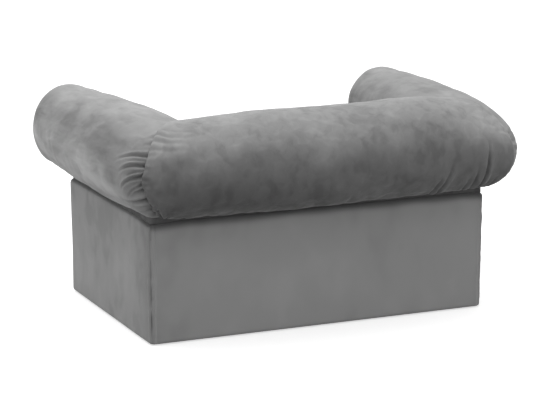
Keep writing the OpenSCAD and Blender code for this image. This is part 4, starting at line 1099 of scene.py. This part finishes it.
# A run of like small things along a path: stitches, teeth or staples, each a rounded bar
bars, r_in, r_out = geometry_group(
    "run_of_bars", Spacing="Float", Along="Float", Across="Float", Deep="Float", Finish="Material",
)
line = step_of(bars, "MeshToCurve")
spots = step_of(bars, "CurveToPoints", "LENGTH")
bar = step_of(bars, "MeshUVSphere", Segments=8, Rings=5, Radius=0.5)
sizes = bars.nodes.new("ShaderNodeCombineXYZ")
placed_bars = step_of(bars, "InstanceOnPoints")
real = step_of(bars, "RealizeInstances")
painted = step_of(bars, "SetMaterial")
linked(
    bars, (r_in["Geometry"], line.inputs[0]), (line.outputs[0], spots.inputs["Curve"]),
    (r_in["Spacing"], spots.inputs["Length"]), (r_in["Across"], sizes.inputs[0]),
    (r_in["Deep"], sizes.inputs[1]), (r_in["Along"], sizes.inputs[2]),
    (spots.outputs["Points"], placed_bars.inputs["Points"]),
    (bar.outputs[0], placed_bars.inputs["Instance"]),
    (spots.outputs["Rotation"], placed_bars.inputs["Rotation"]),
    (sizes.outputs[0], placed_bars.inputs["Scale"]), (placed_bars.outputs[0], real.inputs[0]),
    (real.outputs[0], painted.inputs["Geometry"]), (r_in["Finish"], painted.inputs["Material"]),
    (painted.outputs[0], r_out[0]),
)

zip_lo, zip_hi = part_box("cushion_zip")
tape_y = zip_lo.y
tape_mid = (zip_lo.z + zip_hi.z) / 2
half_chain = zip_hi.x - 0.005
tape_rows = []
for x in np.linspace(zip_lo.x, zip_hi.x, 90):
    wave = 0.00015 * math.sin(x * 160)
    low, high = zip_lo.z + 0.0002, zip_hi.z - 0.0002
    tape_rows.append([
        (x, tape_y + wave, low), (x, tape_y + 0.0008 + wave, low + 0.0003),
        (x, tape_y + 0.0008, tape_mid - 0.003), (x, tape_y + 0.0008, tape_mid + 0.003),
        (x, tape_y + 0.0008 + wave, high - 0.0003), (x, tape_y + wave, high), (x, tape_y, tape_mid),
    ])
tape = skinned("zip_tape", np.array(tape_rows), tape_cloth)


def along_tape(start, end, out, off):
    """Two lines along the tape, that far out of it and off its middle."""
    return [[(start, tape_y + out, tape_mid + z), (end, tape_y + out, tape_mid + z)] for z in (-off, off)]


teeth = laid("zip_teeth", bars, along_tape(-half_chain, half_chain, 0.0016, 0.0011), False,
             Spacing=0.0016, Along=0.0011, Across=0.0026, Deep=0.0017, Finish=nylon)
stitch_lines = along_tape(zip_lo.x + 0.002, zip_hi.x - 0.002, 0.0009, 0.0085)
zip_stitches = laid("zip_stitches", bars, stitch_lines, False,
                    Spacing=0.0032, Along=0.0024, Across=0.0005, Deep=0.0004, Finish=nylon)
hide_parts("cushion_zip")
for part in (tape, teeth, zip_stitches):
    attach(part, "seat_cushion")

# Front of the pull-out section
# A plywood front doweled between the side walls, wrapped in padded velvet on its face and
# edges. The velvet ends behind the front, where it is glued.
front_lo, front_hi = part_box("drawer_front_cover")


def round_rect(w, h, r, each):
    """Points of a rounded rectangle, as many for any size."""
    points = []
    for sx, sz, first in ((1, 1, 0), (-1, 1, 90), (-1, -1, 180), (1, -1, 270)):
        a = np.radians(np.linspace(first, first + 90, 6))
        points.append(np.column_stack([sx * (w - r) + r * np.cos(a), sz * (h - r) + r * np.sin(a)]))
    rounded = []
    for k, turn_points in enumerate(points):
        after = points[(k + 1) % 4][0]
        share = np.linspace(0, 1, each[k % 2] + 2)[1:-1, None]
        rounded += [turn_points, turn_points[-1] + (after - turn_points[-1]) * share]
    return np.vstack(rounded)


half_w = (front_hi.x - front_lo.x) / 2
half_h = (front_hi.z - front_lo.z) / 2
front_z = (front_hi.z + front_lo.z) / 2
inner_y = front_lo.y + cover_t


def front_ring(inset, y, r):
    w, h = max(half_w - inset, 0.0004), max(half_h - inset, 0.0004)
    plan = round_rect(w, h, min(r, w * 0.9, h * 0.9), (150, 36))
    return np.column_stack([plan[:, 0], np.full(len(plan), y), front_z + plan[:, 1]])


front_rows = [front_ring(0.0042, inner_y, 0.0008), front_ring(0.0042, front_hi.y, 0.0008),
              front_ring(0.0002, front_hi.y, 0.003)]
front_rows += [front_ring(0, y, 0.004) for y in np.linspace(front_hi.y - 0.001, front_lo.y + edge_r, 5)]
for a in np.radians((15, 30, 45, 60, 75, 90)):
    front_rows.append(front_ring(edge_r * (1 - math.cos(a)), front_lo.y + edge_r * (1 - math.sin(a)), 0.005))
inner_ring = front_ring(0.010, front_lo.y, 0.006)
middle = inner_ring.mean(0)
front_rows += [middle + (inner_ring - middle) * s for s in np.linspace(1, 0.02, 40)]
front_rows = np.array(front_rows)
faced_rows = front_rows[:, :, 1] < front_lo.y + tiny
to_side = np.abs(front_rows[:, :, 0]) / half_w
to_top = np.abs(front_rows[:, :, 2] - front_z) / half_h
puff = 0.0018 * (1 - to_side**24) * (1 - to_top**6) + 0.0008 * lumps(front_rows, 0.06, 61)
tab_lo, tab_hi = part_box("pull_tab")
tab_z = (tab_lo.z + tab_hi.z) / 2
to_slit = np.hypot(np.maximum(np.abs(front_rows[:, :, 0]) - 0.0125, 0), front_rows[:, :, 2] - tab_z)
puff -= 0.0022 * bell(to_slit, 0, 0.009)
front_rows[:, :, 1] -= np.where(faced_rows, puff, 0)
front_cover = skinned("pull_out_front_velvet", front_rows, stretched_velvet)
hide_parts("drawer_front_cover")
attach(front_cover, "pull_out")

# Hand pull
# Polypropylene webbing, folded into a finger loop and passed through the front, where a steel
# plate clamps its ends. It is sewn across the neck of the loop.
strap = finish_material("woven_webbing", woven, bump=0.7, depth=0.0006, turn=(0, 0, 0.6),
                        Thread=(0.06, 0.06, 0.063, 1), Shade=(0.02, 0.02, 0.021, 1), Threads=150.0)
ply = 0.00125
loop_y = tab_lo.y + 0.0125
flange_y = tab_hi.y - ply
route = [
    (flange_y, -0.0178), (flange_y, -0.010), (flange_y - 0.0002, -0.0045), (flange_y - 0.003, -ply),
    (flange_y - 0.010, -ply), (loop_y + 0.0185, -ply), (loop_y + 0.0135, -0.0022),
    (loop_y + 0.0085, -0.0076), (loop_y, -0.01125), (loop_y - 0.0079, -0.0080), (loop_y - 0.01125, 0),
]
route = np.array(route + [(y, -z) for y, z in route[-2::-1]])
smooth = []
for i in range(len(route) - 1):
    p0, p1, p2, p3 = (route[min(max(k, 0), len(route) - 1)] for k in (i - 1, i, i + 1, i + 2))
    for t in np.linspace(0, 1, 7)[:-1]:
        smooth.append(0.5 * (2 * p1 + (p2 - p0) * t + (2 * p0 - 5 * p1 + 4 * p2 - p3) * t**2
                             + (3 * p1 - p0 - 3 * p2 + p3) * t**3))
smooth = np.array(smooth + [route[-1]])
way = np.gradient(smooth, axis=0)
way /= np.linalg.norm(way, axis=1, keepdims=True)
up_way = np.column_stack([-way[:, 1], way[:, 0]])
half_strap = (tab_hi.x - tab_lo.x) / 2 - 0.0002
strap_r, strap_t = 0.0009, 0.00112
edge = np.radians(np.linspace(-90, 90, 5))
profile = []
for sign in (1, -1):
    profile += [(sign * (half_strap - strap_r + strap_r * math.cos(a)), sign * strap_t * math.sin(a))
                for a in edge]
    profile += [(x, sign * strap_t) for x in np.linspace(sign * 0.010, sign * -0.010, 9)]
strap_rows = np.array([
    [(x, p[0] + n[0] * off, tab_z + p[1] + n[1] * off) for x, off in profile] for p, n in zip(smooth, up_way)
])
webbing = skinned("hand_pull", strap_rows, strap)
outside = smooth + up_way * -0.0012
half_sewn = 0.0095
sewn = [[(x, p[0], tab_z + p[1]) for p in outside[30:-30]] for x in (-half_sewn, half_sewn)]
sewn += [[(x, loop_y + 0.0165, tab_z + z) for x in np.linspace(-half_sewn, half_sewn, 3)]
         for z in (-0.0026, 0.0026)]
strap_stitches = laid("hand_pull_stitches", bars, sewn, False,
                      Spacing=0.0028, Along=0.0021, Across=0.0006, Deep=0.0005, Finish=nylon)
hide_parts("pull_tab")
for part in (webbing, strap_stitches):
    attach(part, "pull_out")

# Dust cover
# Thin black non-woven cloth, turned under at its edges and stapled to the bottom panel, with
# holes cut round the glides.
dust_cloth = finish_material("non_woven_cloth", worn, bump=0.6, depth=0.0005, Main=(0.018, 0.018, 0.02, 1),
                             Rubbed=(0.035, 0.035, 0.037, 1), Fineness=900.0, Dullness=0.85)
dust_lo, dust_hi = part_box("dust_cover")
glide_lo, glide_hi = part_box("glides")
glide_r = 0.011
hole_r = 0.0114
dust_hem = 0.014
holes = [(x, y) for x in (glide_lo.x + glide_r, glide_hi.x - glide_r)
         for y in (glide_lo.y + glide_r, glide_hi.y - glide_r)]
across_n, deep_n = 121, 77
xs, ys = np.linspace(dust_lo.x, dust_hi.x, across_n), np.linspace(dust_lo.y, dust_hi.y, deep_n)
grid = np.stack(np.meshgrid(xs, ys, indexing="ij"), 2).reshape(-1, 2)
near_hole = [np.linalg.norm(grid - h, axis=1) for h in holes]
for hole, away in zip(holes, near_hole):
    close = (away < hole_r + 0.003) & (away > hole_r - 0.0025)
    grid[close] = hole + (grid[close] - hole) * (hole_r / away[close])[:, None]
within = np.min(near_hole, axis=0) < hole_r - 0.0025
sheet_points = np.column_stack([grid, np.full(len(grid), dust_hi.z - 0.0001)])
sag = 0.0003 + 0.0004 * np.abs(lumps(sheet_points, 0.08, 71))
rim = np.minimum(grid - [dust_lo.x, dust_lo.y], [dust_hi.x, dust_hi.y] - grid).min(1)
sheet_points[:, 2] -= np.where(rim < dust_hem, 0.0002, sag)
squares = [(i * deep_n + j, (i + 1) * deep_n + j, (i + 1) * deep_n + j + 1, i * deep_n + j + 1)
           for i in range(across_n - 1) for j in range(deep_n - 1)]
squares = [q for q in squares if not any(within[k] for k in q)]
dust_mesh = bpy.data.meshes.new("dust_cloth")
dust_mesh.from_pydata(sheet_points.tolist(), [], squares)
dust_mesh.materials.append(dust_cloth)
dust = added("dust_cloth", dust_mesh)
thick = dust.modifiers.new("cloth", "SOLIDIFY")
thick.thickness = 0.0003
thick.offset = -1
settled(dust)
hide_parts("dust_cover")
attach(dust, "carcass")
in_x, in_y, under = dust_hi.x - 0.009, 0.009, dust_hi.z - 0.0007
staple_lines = [[(-in_x, y, under), (in_x, y, under)] for y in (dust_lo.y + in_y, dust_hi.y - in_y)]
staple_lines += [[(x, dust_lo.y + 0.03, under), (x, dust_hi.y - 0.03, under)] for x in (-in_x, in_x)]
staples = laid("staples", bars, staple_lines, False,
               Spacing=0.042, Along=0.010, Across=0.0009, Deep=0.0005, Finish=zinc)
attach(staples, "carcass")

# Floor, light and camera
# The bed stands on a plain pale floor before a white background, under one large soft light
# from above and weaker ones from the left and from the camera's side.
scene = bpy.context.scene


def aimed(holder, place, target):
    """Puts a camera or a light at a place and turns it to a target."""
    holder.location = place
    holder.rotation_euler = (Vector(target) - holder.location).to_track_quat("-Z", "Y").to_euler()


camera = added("camera", bpy.data.cameras.new("camera"))
camera.data.lens = 146.62
camera.data.sensor_width = 36
camera.data.clip_end = 50
aimed(camera, (1.565, 3.5385, 1.040), (-0.0016, -0.0135, 0.1696))
scene.camera = camera
scene.view_settings.view_transform = "Standard"


def seen_and_lit(tree, lit, seen, end):
    """Shows one shader to the camera, also in gloss or through glass, and lights by the other."""
    path = tree.nodes.new("ShaderNodeLightPath")
    direct = combined(tree, "MAXIMUM", path.outputs["Is Camera Ray"], path.outputs["Is Glossy Ray"])
    direct = combined(tree, "MAXIMUM", direct, path.outputs["Is Transmission Ray"])
    either = tree.nodes.new("ShaderNodeMixShader")
    linked(
        tree, (direct, either.inputs[0]), (lit.outputs[0], either.inputs[1]),
        (seen.outputs[0], either.inputs[2]), (either.outputs[0], tree.nodes[end].inputs[0]),
    )


world = bpy.data.worlds.new("studio")
scene.world = world
world.use_nodes = True
sky = world.node_tree
room, white = sky.nodes["Background"], sky.nodes.new("ShaderNodeBackground")
for backdrop, strength in ((room, 0.64), (white, 1.0)):
    backdrop.inputs["Color"].default_value = grey(1)
    backdrop.inputs["Strength"].default_value = strength
seen_and_lit(sky, room, white, "World Output")

floor_mesh = bpy.data.meshes.new("floor")
floor_mesh.from_pydata([(-8, -8, 0), (8, -8, 0), (8, 8, 0), (-8, 8, 0)], [], [(0, 1, 2, 3)])
floor = added("floor", floor_mesh)
pale = bpy.data.materials.new("pale_floor")
pale.use_nodes = True
ground = pale.node_tree
paint = ground.nodes["Principled BSDF"]
paint.inputs["Base Color"].default_value = grey(0.8)
paint.inputs["Roughness"].default_value = 0.9
dull = ground.nodes.new("ShaderNodeBsdfDiffuse")
dull.inputs["Color"].default_value = grey(0.25)
glow = ground.nodes.new("ShaderNodeEmission")
glow.inputs["Strength"].default_value = 0.6
both = ground.nodes.new("ShaderNodeAddShader")
linked(ground, (paint.outputs[0], both.inputs[0]), (glow.outputs[0], both.inputs[1]))
seen_and_lit(ground, dull, both, "Material Output")
floor_mesh.materials.append(pale)

for name, place, size, power in (
    ("overhead", (0.2, -0.3, 2.4), 2.2, 30), ("left_fill", (3.2, 0.4, 0.6), 1.4, 9),
    ("rear_fill", (0.2, 3.4, 0.8), 1.4, 8.5),
):
    lamp = bpy.data.lights.new(name, "AREA")
    lamp.shape = "SQUARE"
    lamp.size = size
    lamp.energy = power
    aimed(added(name, lamp), place, (0, 0, 0.2))
